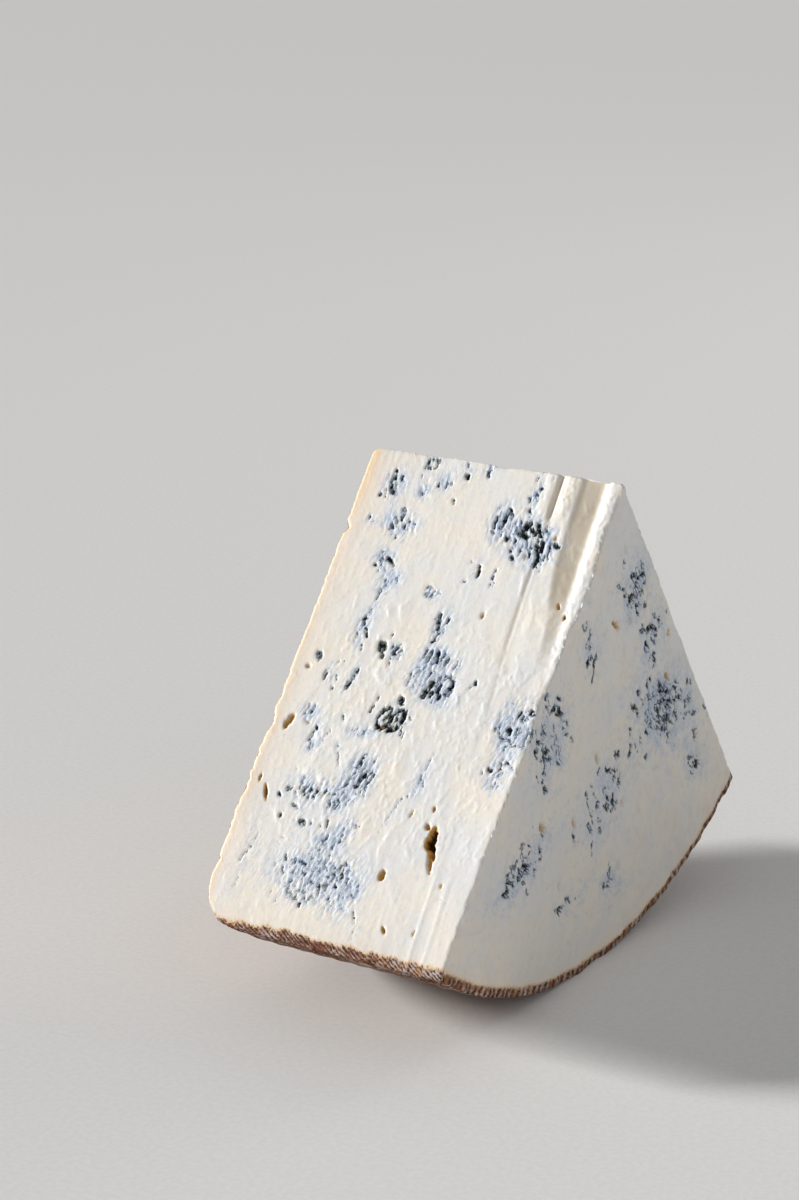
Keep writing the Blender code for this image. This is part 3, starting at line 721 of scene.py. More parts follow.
def rind_relief(length, angle):
    """Height of the rind: the mat's ribs round the side, pits, scuffs and slow dents."""
    arc = angle * RIM_RADIUS
    on_side = smooth(SHOULDER_MIDDLE - 6, SHOULDER_MIDDLE + 5, length)
    near_cut = 1 - 0.9 * smooth(8, 18, (HALF_ANGLE - np.abs(angle)) * RIM_RADIUS)
    ribs = np.sin(mat_phase(length, angle))
    weave = np.sin((length + 0.5 * arc) * 2 * math.pi / 6.3)
    worn = 0.1 + 1.2 * smooth(-0.2, 0.3, fbm(length / 4, arc / 4, 5.5, 77, 3))
    pressed = on_side * (0.17 * worn * ribs * near_cut + 0.10 * weave)
    crust = 0.16 * fbm(length / 2.2, arc / 2.6, 1.5, 72, 4)
    crust *= 0.4 + 0.6 * smooth(-0.3, 0.4, fbm(length / 12, arc / 12, 2.5, 73, 2))
    slow = 0.38 * fbm(length / 26, arc / 30, 3.5, 74, 3)
    dents = -0.5 * np.clip(fbm(length / 7, arc / 8, 4.5, 75, 2) - 0.28, 0, 1)
    front_reach = np.clip((angle + HALF_ANGLE) * np.maximum(length, 20), 0, None)
    notch = -1.9 * bell((length - 26.6) / 1.3) * bell(front_reach / 2.5)
    notch += -0.9 * bell((length - 84.5) / 2.2) * bell(front_reach / 3.0)
    notch += -0.8 * bell((length - 123.5) / 0.9) * bell(front_reach / 2.0)
    bumps = 0.5 * bell((length - 80.0) / 1.6) * bell(front_reach / 3.0)
    bumps += 0.4 * bell((length - 92.0) / 2.0) * bell(front_reach / 3.0)
    bumpy = 0.8 + 0.9 * smooth(66, 78, length) * (1 - smooth(112, 122, length))
    edge = bumpy * fbm(length / 2.9, 0.5, 0.5, 76, 4, 0.7) * bell(front_reach / 2.2)
    lip = 0.85 * smooth(SHOULDER_MIDDLE - 4, SHOULDER_MIDDLE + 9, length)
    lip *= bell(front_reach / 5.0)
    return pressed + crust + slow + dents + notch + bumps + edge + lip


def sit(points):
    """Presses the rind flat where it would reach below the plate the wedge stands on."""
    points[..., 2] = np.maximum(points[..., 2], -FOOT_DROP)
    return points


def cut_offset(cut, x):
    """How far a long cut lies inside the axis at x, in the plane across the axis."""
    depth, turn = cut
    return -depth - turn * x


def cut_angle(side, cut, x, radius, height):
    """The angle at which a circle round the axis meets a long cut raised by height."""
    inside = -(cut_offset(cut, x) + height) / np.maximum(radius, 0.5)
    return side * (HALF_ANGLE - np.arcsin(np.clip(inside, -1, 1)))


def on_long_cut(side, cut, x, down, height):
    """Points of a long cut: down it by `down` from the axis, raised by height."""
    out = cut_offset(cut, x) + height
    y = side * (down * math.sin(HALF_ANGLE) + out * math.cos(HALF_ANGLE))
    z = -down * math.cos(HALF_ANGLE) + out * math.sin(HALF_ANGLE)
    return np.stack([x, y, z], axis=-1)


def tip_down(side, x):
    """How far down a long cut the tip lies: the two cuts' planes are solved together."""
    front, back = cut_offset(FRONT_CUT, x), cut_offset(BACK_CUT, x)
    z = (front + back) / (2 * math.sin(HALF_ANGLE))
    y = (back - front) / (2 * math.cos(HALF_ANGLE))
    return side * y * math.sin(HALF_ANGLE) - z * math.cos(HALF_ANGLE)


def tip_wear(x):
    """How far the tip is worn down at x, with the crumbs that stand up from it."""
    crumbs = 0.75 * bell((x - 26.3) / 1.6) + 0.35 * bell((x - 30.5) / 2.6)
    crumbs += 0.35 * bell((x - 54) / 3.0) + 0.95 * bell((x - 60.2) / 2.4)
    crumbs += 0.45 * bell((x - 71.8) / 1.6) - 0.5 * bell((x - 40) / 3.4)
    corner = 2.3 * bell((x + 1.2) / 2.2) + 0.8 * bell((x - 76) / 1.2)
    even = TIP_ROUND - 0.25 - 0.30 * smooth(25, 60, x)
    return np.maximum(even - crumbs + corner + 0.30 * noise(x / 2.4, 0.5, 0.5, 64), 0.35)


def halving_x(y, z):
    """x of the halving cut's plane at (y, z)."""
    return HALVING_X + HALVING_UP * (z + RIM_RADIUS) + HALVING_BACK * y


def edge_sink(distance):
    """How far a face sinks near its edge: the quarter circle that rounds the edge off."""
    inside = np.clip(EDGE_ROUND - distance, 0, EDGE_ROUND)
    return EDGE_ROUND - np.sqrt(EDGE_ROUND**2 - inside**2)


# ---------------------------------------------------------------- the closed mesh


class Skin:
    """Gathers the vertices, faces and colour fields of one closed mesh, patch by patch."""

    # the last field is painted shade: the front's knife channel and groove are darkened in colour
    FIELDS = (
        "stain", "dark", "green", "brown", "warm", "rim", "phase", "pressed",
        "across", "along", "level", "painted_channel_shade",
    )

    def __init__(self, box):
        self.points, self.faces, self.slots, self.fields = [], [], [], []
        self.count = 0
        self.box = box

    def add_points(self, points, **fields):
        """Adds a grid of points and returns the grid of their numbers."""
        shape = points.shape[:-1]
        size = int(np.prod(shape))
        self.points.append(points.reshape(-1, 3))
        table = np.zeros((size, len(self.FIELDS)))
        for name, value in fields.items():
            if name in self.FIELDS:
                table[:, self.FIELDS.index(name)] = np.broadcast_to(value, shape).ravel()
        self.fields.append(table)
        numbers = np.arange(self.count, self.count + size).reshape(shape)
        self.count += size
        return numbers

    def add_grid(self, numbers, slot):
        """Four-cornered faces between neighbouring rows and columns."""
        a, b = numbers[:-1, :-1].ravel(), numbers[:-1, 1:].ravel()
        c, d = numbers[1:, 1:].ravel(), numbers[1:, :-1].ravel()
        self.faces.append(np.stack([a, b, c, d], axis=1))
        self.slots.append(np.full(len(a), slot))

    def add_triangles(self, triangles, slot):
        """Three-cornered faces; the last corner is stored twice until the mesh is made."""
        doubled = np.concatenate([triangles, triangles[:, 2:]], axis=1)
        self.faces.append(doubled)
        self.slots.append(np.full(len(triangles), slot))

    def zip_up(self, first, second, slot):
        """Closes the strip between two chains of points that run side by side.

        The chains' steps are sorted by their share of the way along. Each step makes one
        triangle, from the edge it walks along to the point the other chain has reached.
        """
        everything = np.concatenate(self.points)
        shares = []
        for chain in (first, second):
            run = np.linalg.norm(np.diff(everything[chain], axis=0), axis=1)
            total = np.concatenate([[0], np.cumsum(run)])
            shares.append(total / total[-1])
        steps = np.concatenate([shares[0][1:], shares[1][1:]])
        which = np.repeat([0, 1], [len(first) - 1, len(second) - 1])
        which = which[np.lexsort((which, steps))]
        done_first = np.cumsum(which == 0) - (which == 0)
        done_second = np.cumsum(which == 1) - (which == 1)
        next_first = np.minimum(done_first + 1, len(first) - 1)
        next_second = np.minimum(done_second + 1, len(second) - 1)
        middle = np.where(which == 0, first[next_first], second[next_second])
        triangles = np.stack([first[done_first], middle, second[done_second]], axis=1)
        self.add_triangles(triangles, slot)

    def mesh(self, name, origin):
        """The mesh, in metres from the row's origin, with its fields as three attributes."""
        points = (np.concatenate(self.points) + origin) * MM
        points = np.clip(points, *self.box)
        corners = np.concatenate(self.faces)
        slots = np.concatenate(self.slots)
        triangle = corners[:, 3] == corners[:, 2]
        sizes = np.where(triangle, 3, 4)
        keep = np.ones(corners.shape, dtype=bool)
        keep[:, 3] = ~triangle
        mesh = bpy.data.meshes.new(name)
        mesh.vertices.add(len(points))
        mesh.vertices.foreach_set("co", points.astype(np.float32).ravel())
        mesh.loops.add(int(sizes.sum()))
        mesh.loops.foreach_set("vertex_index", corners[keep].astype(np.int32))
        mesh.polygons.add(len(corners))
        starts = np.concatenate([[0], np.cumsum(sizes)[:-1]])
        mesh.polygons.foreach_set("loop_start", starts.astype(np.int32))
        mesh.polygons.foreach_set("material_index", slots.astype(np.int32))
        mesh.update(calc_edges=True)
        mesh.validate()
        fields = np.concatenate(self.fields)
        for number, layer in enumerate(("veins", "finish", "run")):
            four = fields[:, number * 4 : number * 4 + 4]
            colours = mesh.attributes.new(layer, "FLOAT_COLOR", "POINT")
            colours.data.foreach_set("color", four.astype(np.float32).ravel())
        return mesh


def warmth(to_rind):
    """Orange tint near the rind: it fades over a few millimetres, with a long weak tail."""
    return 0.65 * np.exp(-to_rind / 1.6) + 0.30 * np.exp(-to_rind / 8.0)


def corner_warmth(x, r):
    """Cream tint of the corner by the tip, where the rind's smear was dragged in."""
    return 0.5 * bell((x - 1.5) / 2.2) * (1 - smooth(10, 26, r))


def channel_shade_share(x, r):
    """Share of painted shade, a darker beige, in the knife's channel and its groove's shadow line."""
    left = 62.4 + 3.4 * smooth(22, 48, r)
    channel = smooth(0, 1.8, x - left) * (1 - smooth(68.8, 70.2, x))
    channel *= 1 - smooth(30, 56, r)
    groove = bell((x - 57.0) / 0.7) * (1 - smooth(14, 20, r))
    groove += 0.5 * bell((x - 57.2) / 0.5) * smooth(25, 30, r) * (1 - smooth(40, 70, r))
    return np.clip(channel + 0.8 * groove, 0, 1)


def long_cut_edges(side, cut, columns, rows):
    """The four borders of a long cut as (x, down) pairs, from the surfaces it meets.

    The left border is the rind's section up to the middle of its shoulder, the bottom is
    the rest of that section, the right is the halving cut and the top is near the tip.
    """

    def along_rind(length):
        x, radius, out_x, out_radius = on_profile(length)
        angle = cut_angle(side, cut, x, radius, 0)
        lift = rind_relief(length, angle) - EDGE_GAP
        x, radius = x + lift * out_x, radius + lift * out_radius
        return x, np.sqrt(np.maximum(radius**2 - cut_offset(cut, x) ** 2, 0.01))

    share = np.linspace(0, 1, rows)
    start = math.hypot(tip_down(side, 0.0) + tip_wear(0.0), cut_offset(cut, 0.0))
    left = np.stack(along_rind(start + (SHOULDER_MIDDLE - start) * share), axis=-1)
    start = tip_down(side, 75.0) + tip_wear(75.0)
    down = start + (139.5 - start) * share
    edge = on_long_cut(side, cut, np.full(rows, 72.0), down, 0)
    right_x = halving_x(edge[:, 1], edge[:, 2]) + halving_relief(edge[:, 1], edge[:, 2])
    right = np.stack([right_x - EDGE_GAP, down], axis=-1)
    end = length_at_x(right_x[-1] - EDGE_GAP)
    bottom_length = SHOULDER_MIDDLE + (end - SHOULDER_MIDDLE) * np.linspace(0, 1, columns)
    bottom = np.stack(along_rind(bottom_length), axis=-1)
    right[:, 1] = start + (bottom[-1, 1] - start) * share
    top_x = np.linspace(left[0, 0], right[0, 0], columns)
    top = np.stack([top_x, tip_down(side, top_x) + tip_wear(top_x)], axis=-1)
    left[0], right[0], bottom[0] = top[0], top[-1], left[-1]
    right[-1] = bottom[-1]
    return top, bottom, left, right


def filled_between(top, bottom, left, right):
    """Coons patch: blended rows plus blended columns, less the blended corners."""
    s = np.linspace(0, 1, len(top))[None, :, None]
    t = np.linspace(0, 1, len(left))[:, None, None]
    rows = (1 - t) * top[None] + t * bottom[None]
    columns = (1 - s) * left[:, None] + s * right[:, None]
    corners = (
        (1 - s) * (1 - t) * top[0] + s * (1 - t) * top[-1]
        + (1 - s) * t * bottom[0] + s * t * bottom[-1]
    )
    return rows + columns - corners


def border_distance(grid):
    """Distance of each grid point from the nearest of the left, right and bottom borders."""
    def to(border):
        gap = grid - border
        return np.hypot(gap[..., 0], gap[..., 1])

    left, right = to(grid[:, :1]), to(grid[:, -1:])
    bottom = to(grid[-1:, :])
    return left, right, bottom


def build_long_cut(skin, side, columns, rows):
    """The front (side -1) or the back (side 1): a sheet between the rind and the tip."""
    front = side < 0
    cut = FRONT_CUT if front else BACK_CUT
    grid = filled_between(*long_cut_edges(side, cut, columns, rows))
    x, down = grid[..., 0], grid[..., 1]
    r = down - TIP_START
    if front:
        height, marks = front_relief(x, r), front_marks(x, r)
    else:
        height, marks = back_relief(x, r), zone_marks(x, r, BACK_ZONES, 81, 0.1)
    left, right, bottom = border_distance(grid)
    nearest = np.minimum(np.minimum(left, right), bottom) + EDGE_GAP
    hollow = marks.pop("hollow") * smooth(0.2, 1.6, nearest)
    below_tip = down - tip_down(side, x) - tip_wear(x)
    sink = edge_sink(nearest) + edge_sink(below_tip + EDGE_ROUND / 2)
    points = on_long_cut(side, cut, x, down, height - hollow - sink)
    to_rind = np.minimum(left, bottom)
    warm = warmth(to_rind)
    if front:
        warm = np.clip(warm + corner_warmth(x, r), 0, 1)
        # painted shade: the knife's channel and the groove's shadow line are darkened in colour
        marks["painted_channel_shade"] = channel_shade_share(x, r)
    phase = mat_phase(x + 1.5 * bottom + SHOULDER_MIDDLE - 2, side * HALF_ANGLE)
    to_mat = bottom - 0.10 * np.sin(phase) - 1.5 * fbm(x / 2.3, r / 2.3, 9.5, 28, 4, 0.6)
    thickening = smooth(-2, 5, x) * (0.60 + 0.40 * smooth(4, 20, x))
    return skin.add_points(
        points, **marks, warm=warm,
        rim=(1 - smooth(0.0, RIM_SHOWS, to_mat)) * thickening, phase=phase, pressed=1.0,
    )


def build_sector(skin, columns_at_rim, spacing, hole, place, slot):
    """A sector of rings round the axis. place(share of radius, share of angle) gives its
    points and fields. Returns its front chain, back chain, inner ring and outer ring."""
    bands = []
    outer, columns = 1.0, columns_at_rim
    while True:
        inner = outer * 0.55
        if columns < 8 or inner * RIM_RADIUS < hole * 1.4:
            inner = hole / RIM_RADIUS
        bands.append((inner, outer, columns))
        if inner * RIM_RADIUS < hole * 1.1:
            break
        outer, columns = inner, max(int(columns * 0.58), 4)
    grids = []
    for inner, outer, columns in bands[::-1]:
        rings = max(int((outer - inner) * RIM_RADIUS / spacing), 2)
        share = np.linspace(inner, outer, rings + 1)
        if grids:
            share = share[1:]
        angle = np.linspace(0, 1, columns + 1)
        points, fields = place(*np.meshgrid(share, angle, indexing="ij"))
        grids.append(skin.add_points(points, **fields))
    for grid in grids:
        skin.add_grid(grid, slot)
    for inner_grid, outer_grid in zip(grids[:-1], grids[1:]):
        skin.zip_up(inner_grid[-1], outer_grid[0], slot)
    front = np.concatenate([grid[:, 0] for grid in grids])
    back = np.concatenate([grid[:, -1] for grid in grids])
    return front, back, grids[0][0], grids[-1][-1]


def place_halving_cut(share, turn):
    """Points of the halving cut: polar rings, from the tip to the rind's section."""
    aim = HALF_ANGLE * (2 * turn - 1)
    end_x = halving_x(RIM_RADIUS * np.sin(aim), -RIM_RADIUS * np.cos(aim)) - 0.3
    length = length_at_x(end_x)
    _, rim, _, _ = on_profile(length)
    rim = rim + rind_relief(length, aim) - EDGE_GAP
    radius = share * rim
    x = halving_x(radius * np.sin(aim), -radius * np.cos(aim))
    down = np.maximum(radius, 1.0)
    low = cut_angle(-1, FRONT_CUT, x, radius, front_relief(x, down - TIP_START))
    high = cut_angle(1, BACK_CUT, x, radius, back_relief(x, down - TIP_START))
    inset = EDGE_GAP / np.maximum(radius, 1.0)
    low, high = low + inset, high - inset
    tight = high < low
    middle = (low + high) / 2
    low, high = np.where(tight, middle, low), np.where(tight, middle, high)
    angle = low + (high - low) * turn
    y, z = radius * np.sin(angle), -radius * np.cos(angle)
    marks = zone_marks(y, z + RIM_RADIUS, HALVING_ZONES, 91, 0.6)
    to_rind = rim - radius
    to_front = (angle - low) * radius
    to_back = (high - angle) * radius
    nearest = np.minimum(np.minimum(to_front, to_back), to_rind) + EDGE_GAP
    keep = smooth(6, 13, to_rind)
    for name in ("stain", "dark"):
        marks[name] = marks[name] * keep
    hollow = marks.pop("hollow") * smooth(0.2, 1.6, nearest) * keep
    x = halving_x(y, z) + halving_relief(y, z) - hollow - edge_sink(nearest)
    fields = dict(
        marks, warm=warmth(to_rind) * 1.1,
        rim=1 - smooth(0.0, RIM_SHOWS, to_rind), phase=mat_phase(length, angle),
        pressed=1.0,
    )
    return np.stack([x, y, z], axis=-1), fields


def rind_points(length, turn):
    """Points of the rind: its section at each length, turned between the two long cuts."""
    x, radius, out_x, out_radius = on_profile(length)
    down = np.maximum(radius, 1.0)
    low = cut_angle(-1, FRONT_CUT, x, radius, front_relief(x, down - TIP_START))
    high = cut_angle(1, BACK_CUT, x, radius, back_relief(x, down - TIP_START))
    inset = EDGE_GAP / np.maximum(radius, 1.0)
    low, high = low + inset, high - inset
    angle = low + (high - low) * turn
    reach = np.minimum((angle - low), (high - angle)) * radius + EDGE_GAP
    lift = rind_relief(length, angle) - edge_sink(reach)
    x, radius = x + lift * out_x, radius + lift * out_radius
    points = np.stack([x, radius * np.sin(angle), -radius * np.cos(angle)], axis=-1)
    return sit(points), angle


def rind_fields(length, angle):
    """The rind's fields: it is all rim, and pressed by the mat from the shoulder on."""
    pressed = smooth(SHOULDER_MIDDLE - 8, SHOULDER_MIDDLE + 5, length)
    return dict(rim=1.0, phase=mat_phase(length, angle), pressed=pressed)


def place_flat_rind(share, turn):
    """Points and fields of the flat rind, up to the middle of its shoulder."""
    length = share * SHOULDER_MIDDLE
    points, angle = rind_points(length, turn)
    return points, rind_fields(length, angle)


def build_side_rind(skin, columns, rows):
    """The curved rind: lengths along its section by turns from the front to the back."""
    even = np.linspace(0, 1, rows)
    turn = (even - 0.105 * np.sin(2 * math.pi * even))[:, None]
    aim = HALF_ANGLE * (2 * turn - 1)
    y, z = RIM_RADIUS * np.sin(aim), -RIM_RADIUS * np.cos(aim)
    end = length_at_x(halving_x(y, z) + halving_relief(y, z) - EDGE_GAP)
    start = SHOULDER_MIDDLE + 0.5
    length = start + (end - start) * np.linspace(0, 1, columns)[None, :]
    points, angle = rind_points(length, np.broadcast_to(turn, length.shape))
    to_cut = end - length + EDGE_GAP
    sunk = edge_sink(to_cut)
    points[..., 1] -= sunk * np.sin(angle)
    points[..., 2] += sunk * np.cos(angle)
    return skin.add_points(sit(points), **rind_fields(length, angle))


def build_skin(settings):
    """All the patches and the zips between them, as one closed skin."""
    skin = Skin([np.array(corner) for corner in CAD_BOX])
    fine = settings.front_spacing
    front = build_long_cut(
        skin, -1, int(CUT_WIDE / fine), int(CUT_LONG / (fine * FRONT_ROW_STRETCH))
    )
    skin.add_grid(front, 0)
    wide = settings.back_spacing
    back = build_long_cut(skin, 1, int(CUT_WIDE / wide), int(CUT_LONG / wide))
    skin.add_grid(back, 0)
    halving = settings.halving_spacing
    cut_front, cut_back, cut_inner, cut_rim = build_sector(
        skin, int(RIM_ARC / halving), halving, CUT_HOLE, place_halving_cut, 0
    )
    flat_front, flat_back, flat_inner, flat_rim = build_sector(
        skin, int(RIM_ARC / wide), wide, RIND_HOLE, place_flat_rind, 1
    )
    side = build_side_rind(skin, int(SIDE_WIDE / settings.rib_spacing), int(RIM_ARC / wide))
    skin.add_grid(side, 1)
    skin.zip_up(front[:, 0], flat_front, 0)
    skin.zip_up(back[:, 0], flat_back, 0)
    skin.zip_up(front[:, -1], cut_front, 0)
    skin.zip_up(back[:, -1], cut_back, 0)
    skin.zip_up(front[-1], side[0], 1)
    skin.zip_up(back[-1], side[-1], 1)
    skin.zip_up(flat_rim, side[:, 0], 1)
    skin.zip_up(cut_rim, side[:, -1], 1)
    skin.zip_up(front[0], back[0], 0)
    skin.zip_up(np.array([front[0, 0], back[0, 0]]), flat_inner, 0)
    skin.zip_up(np.array([front[0, -1], back[0, -1]]), cut_inner, 0)
    corners = [
        (front[-1, 0], side[0, 0], flat_rim[0]),
        (back[-1, 0], side[-1, 0], flat_rim[-1]),
        (front[-1, -1], side[0, -1], cut_rim[0]),
        (back[-1, -1], side[-1, -1], cut_rim[-1]),
    ]
    skin.add_triangles(np.array(corners), 1)
    return skin


def axis_in_row():
    """The wheel's axis in the row's frame, in millimetres, from the solid's box."""
    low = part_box("cheese_wedge")[0]
    return np.array([low[i] / MM + AXIS_FROM_LOW[i] for i in range(3)])


def face_outwards(mesh):
    """Turns every face to point out of the closed skin."""
    body = bmesh.new()
    body.from_mesh(mesh)
    bmesh.ops.recalc_face_normals(body, faces=body.faces)
    body.to_mesh(mesh)
    body.free()


# ---------------------------------------------------------------- materials


def linear(hex_colour):
    """sRGB hex to linear RGBA: c / 12.92 below 0.04045, else ((c + 0.055) / 1.055) ^ 2.4."""
    text = hex_colour.lstrip("#")
    values = [int(text[i : i + 2], 16) / 255 for i in (0, 2, 4)]
    shares = [v / 12.92 if v <= 0.04045 else ((v + 0.055) / 1.055) ** 2.4 for v in values]
    return (*shares, 1.0)


def add_node(tree, kind, inputs, output=0, **settings):
    """Adds a node with its settings and links, and returns one of its outputs.

    inputs maps an input's name or number to its value, or to the output linked to it.
    """
    node = tree.nodes.new("ShaderNode" + kind)
    for name, value in settings.items():
        setattr(node, name, value)
    for key, value in inputs.items():
        if isinstance(value, bpy.types.NodeSocket):
            tree.links.new(value, node.inputs[key])
        else:
            node.inputs[key].default_value = value
    return node.outputs[output]


def summed(tree, start, terms):
    """start plus value * weight for each of the terms."""
    total = start
    for value, weight in terms:
        total = add_node(
            tree, "Math", {0: value, 1: weight, 2: total}, operation="MULTIPLY_ADD"
        )
    return total


def covered(tree, base, layers):
    """Lays colours over base. A layer is (value, low, high, most, colour): its share is
    most * (3t^2 - 2t^3), where t is value's place between low and high."""
    for value, low, high, most, colour in layers:
        step = {"Value": value, "From Min": low, "From Max": high, "To Max": most}
        share = add_node(tree, "MapRange", step, interpolation_type="SMOOTHSTEP")
        over = linear(colour) if isinstance(colour, str) else colour
        base = add_node(tree, "Mix", {0: share, 6: base, 7: over}, 2, data_type="RGBA")
    return base


def attribute_parts(tree, name):
    """The four numbers that a vertex attribute holds."""
    colour = add_node(tree, "Attribute", {}, "Color", attribute_name=name)
    red = add_node(tree, "SeparateColor", {"Color": colour})
    return [*red.node.outputs, colour.node.outputs["Alpha"]]


def new_material(name):
    """(material, its node tree, its shader)"""
    material = bpy.data.materials.new(name)
    material.use_nodes = True
    tree = material.node_tree
    return material, tree, tree.nodes["Principled BSDF"]


def grain(place, size, detail, rough):
    """The inputs of a noise whose features are about size millimetres across."""
    return {"Vector": place, "Scale": 1 / (size * MM), "Detail": detail, "Roughness": rough}


def rind_look(tree, place, phase, pressed, colours):
    """Colour and height of the rind: brown smear, and bloom on the pressed ribs' tops."""
    cloud = add_node(tree, "TexNoise", grain(place, 16.0, 5.0, 0.60))
    mottle = add_node(tree, "TexNoise", grain(place, 3.0, 4.0, 0.65))
    fine = add_node(tree, "TexNoise", grain(place, 0.8, 3.0, 0.65))
    wave = add_node(tree, "Math", {0: summed(tree, phase, [(mottle, 7.0)])}, operation="SINE")
    ribs = add_node(tree, "Math", {0: wave, 1: pressed}, operation="MULTIPLY")
    bloom = summed(tree, 0.0, [(mottle, 0.70), (fine, 0.45), (cloud, 0.35), (ribs, 0.08)])
    trough = summed(tree, 0.0, [(fine, -1.0), (ribs, -0.11)])
    base = covered(tree, linear(colours.rind_brown), [
        (cloud, 0.32, 0.68, 1.0, colours.rind_tan),
        (mottle, 0.46, 0.68, 0.8, colours.rind_red),
        (bloom, 0.73, 0.92, 0.75, colours.rind_bloom),
        (trough, -0.52, -0.36, 1.0, colours.rind_dark),
    ])
    return base, summed(tree, 0.0, [(fine, 1.0), (mottle, 1.2), (ribs, 0.5)])


def paste_look(tree, place, amounts, run, colours):
    """Colour and height of the paste, with its mould and eyes.

    stained = stain + 1.3 (streak - 0.5) + 1.1 (mottle - 0.5), and ink = dark + 0.35 (fine -
    0.5) + 0.9 (streak - 0.5) + 0.5 (finest - 0.5) + crack * mouldy. crack runs from 0.299
    between the crumbs to -0.161 inside them.
    """
    stain, dark, green, brown, warm = amounts
    cloud = add_node(tree, "TexNoise", grain(place, 14.0, 4.0, 0.55))
    mottle = add_node(tree, "TexNoise", grain(place, 2.6, 4.0, 0.60))
    fine = add_node(tree, "TexNoise", grain(place, 0.75, 3.0, 0.60))
    finest = add_node(tree, "TexNoise", grain(place, 0.32, 2.0, 0.60))
    along = add_node(tree, "Mapping", {"Vector": run, "Scale": (0.85, 0.33, 1.0)})
    shove = add_node(tree, "TexNoise", {"Vector": along, "Scale": 1.1, "Detail": 2.0}, "Color")
    bent = add_node(tree, "VectorMath", {0: shove, 1: (0.9, 0.9, 0.9), 2: along},
                    operation="MULTIPLY_ADD")
    crumbs = add_node(tree, "TexVoronoi", {"Vector": bent, "Scale": 1.0}, "Distance",
                      feature="DISTANCE_TO_EDGE")
    streak = add_node(tree, "TexNoise", {
        "Vector": bent, "Scale": 1.9, "Detail": 3.0, "Roughness": 0.6,
    })
    base = covered(tree, linear(colours.paste), [
        (cloud, 0.35, 0.65, 1.0, colours.paste_cool),
        (mottle, 0.48, 0.72, 0.35, colours.paste_shade),
    ])
    # painted shade of the knife's channel and groove, kept in the run attribute's alpha
    painted_channel_shade = run.node.outputs["Alpha"]
    for amount, least, tint in (
        (warm, 0.4, colours.warm_rim), (painted_channel_shade, 0.3, colours.channel_shade)
    ):
        patchy = add_node(tree, "Math", {0: cloud, 1: least}, operation="ADD")
        share = add_node(tree, "Math", {0: amount, 1: patchy}, operation="MULTIPLY",
                         use_clamp=True)
        base = add_node(tree, "Mix", {0: share, 6: base, 7: linear(tint)}, 2,
                        data_type="RGBA")
    stained = summed(tree, -1.2, [(stain, 1.0), (streak, 1.3), (mottle, 1.1)])
    crack = add_node(tree, "MapRange", {
        "Value": crumbs, "From Min": 0.02, "From Max": 0.22, "To Min": 0.299, "To Max": -0.161,
    }, interpolation_type="SMOOTHSTEP")
    mouldy = add_node(tree, "MapRange", {
        "Value": summed(tree, stain, [(dark, 1.0)]), "From Min": 0.2, "From Max": 0.9,
    }, interpolation_type="SMOOTHSTEP")
    ink = summed(tree, -0.875, [
        (dark, 1.0), (fine, 0.35), (streak, 0.9), (finest, 0.5), (crack, mouldy),
    ])
    middle, darkest = [
        add_node(tree, "Mix", {0: green, 6: linear(blue), 7: linear(leafy)}, 2,
                 data_type="RGBA")
        for blue, leafy in (
            (colours.mould_blue, colours.mould_green),
            (colours.mould_dark_blue, colours.mould_dark_green),
        )
    ]
    base = covered(tree, base, [
        (stained, 0.05, 0.82, 0.9, colours.bloom),
        (ink, 0.20, 0.46, 0.85, middle),
        (ink, 0.50, 0.84, 1.0, darkest),
        (brown, 0.04, 0.40, 1.0, colours.eye_rim),
        (brown, 0.45, 0.95, 1.0, colours.eye_deep),
    ])
    lump = add_node(tree, "MapRange", {
        "Value": crumbs, "From Min": 0.0, "From Max": 0.4, "To Max": 0.9,
    }, interpolation_type="SMOOTHSTEP")
    height = summed(tree, 0.0, [(fine, 0.22), (finest, 0.20), (lump, stain)])
    return base, height, mottle, fine


def paste_material(colours):
    """Blue-veined paste, cut with a wire and dragged by it.

    Moist milk paste is translucent, so light bleeds a few millimetres and shadows glow
    warm. The mould lines its cracks: pale blue bloom at the rim, blue-black in the hollow.
    The rind's smear creeps over the cut's low edge, with a golden fringe.
    """
    material, tree, shader = new_material("blue_veined_paste")
    place = add_node(tree, "TexCoord", {}, "Object")
    stain, dark, green, brown = attribute_parts(tree, "veins")
    warm, rim, phase, pressed = attribute_parts(tree, "finish")
    run = add_node(tree, "Attribute", {}, "Vector", attribute_name="run")
    amounts = (stain, dark, green, brown, warm)
    base, height, mottle, fine = paste_look(tree, place, amounts, run, colours)
    fringe = summed(tree, -0.25, [(rim, 1.0), (fine, 0.5)])
    base = covered(tree, base, [(fringe, 0.14, 0.50, 0.8, colours.rind_gold)])
    rind, rind_height = rind_look(tree, place, phase, pressed, colours)
    at_rind = add_node(tree, "MapRange", {
        "Value": summed(tree, -0.4, [(rim, 1.0), (fine, 0.8)]),
        "From Min": 0.40, "From Max": 0.58,
    }, interpolation_type="SMOOTHSTEP")
    base = add_node(tree, "Mix", {0: at_rind, 6: base, 7: rind}, 2, data_type="RGBA")
    tree.links.new(base, shader.inputs["Base Color"])
    gloss = summed(tree, 0.30, [(mottle, 0.30), (stain, 0.15), (dark, 0.30), (rim, 0.3)])
    tree.links.new(gloss, shader.inputs["Roughness"])
    height = summed(tree, height, [(rind_height, at_rind)])
    bump = add_node(tree, "Bump", {"Strength": 0.5, "Distance": 0.30 * MM, "Height": height})
    tree.links.new(bump, shader.inputs["Normal"])
    shader.inputs["Subsurface Weight"].default_value = 0.22
    shader.inputs["Subsurface Radius"].default_value = (1.0, 0.62, 0.32)
    shader.inputs["Subsurface Scale"].default_value = 3.0 * MM
    shader.inputs["IOR"].default_value = 1.45
    shader.inputs["Specular IOR Level"].default_value = 0.5
    return material


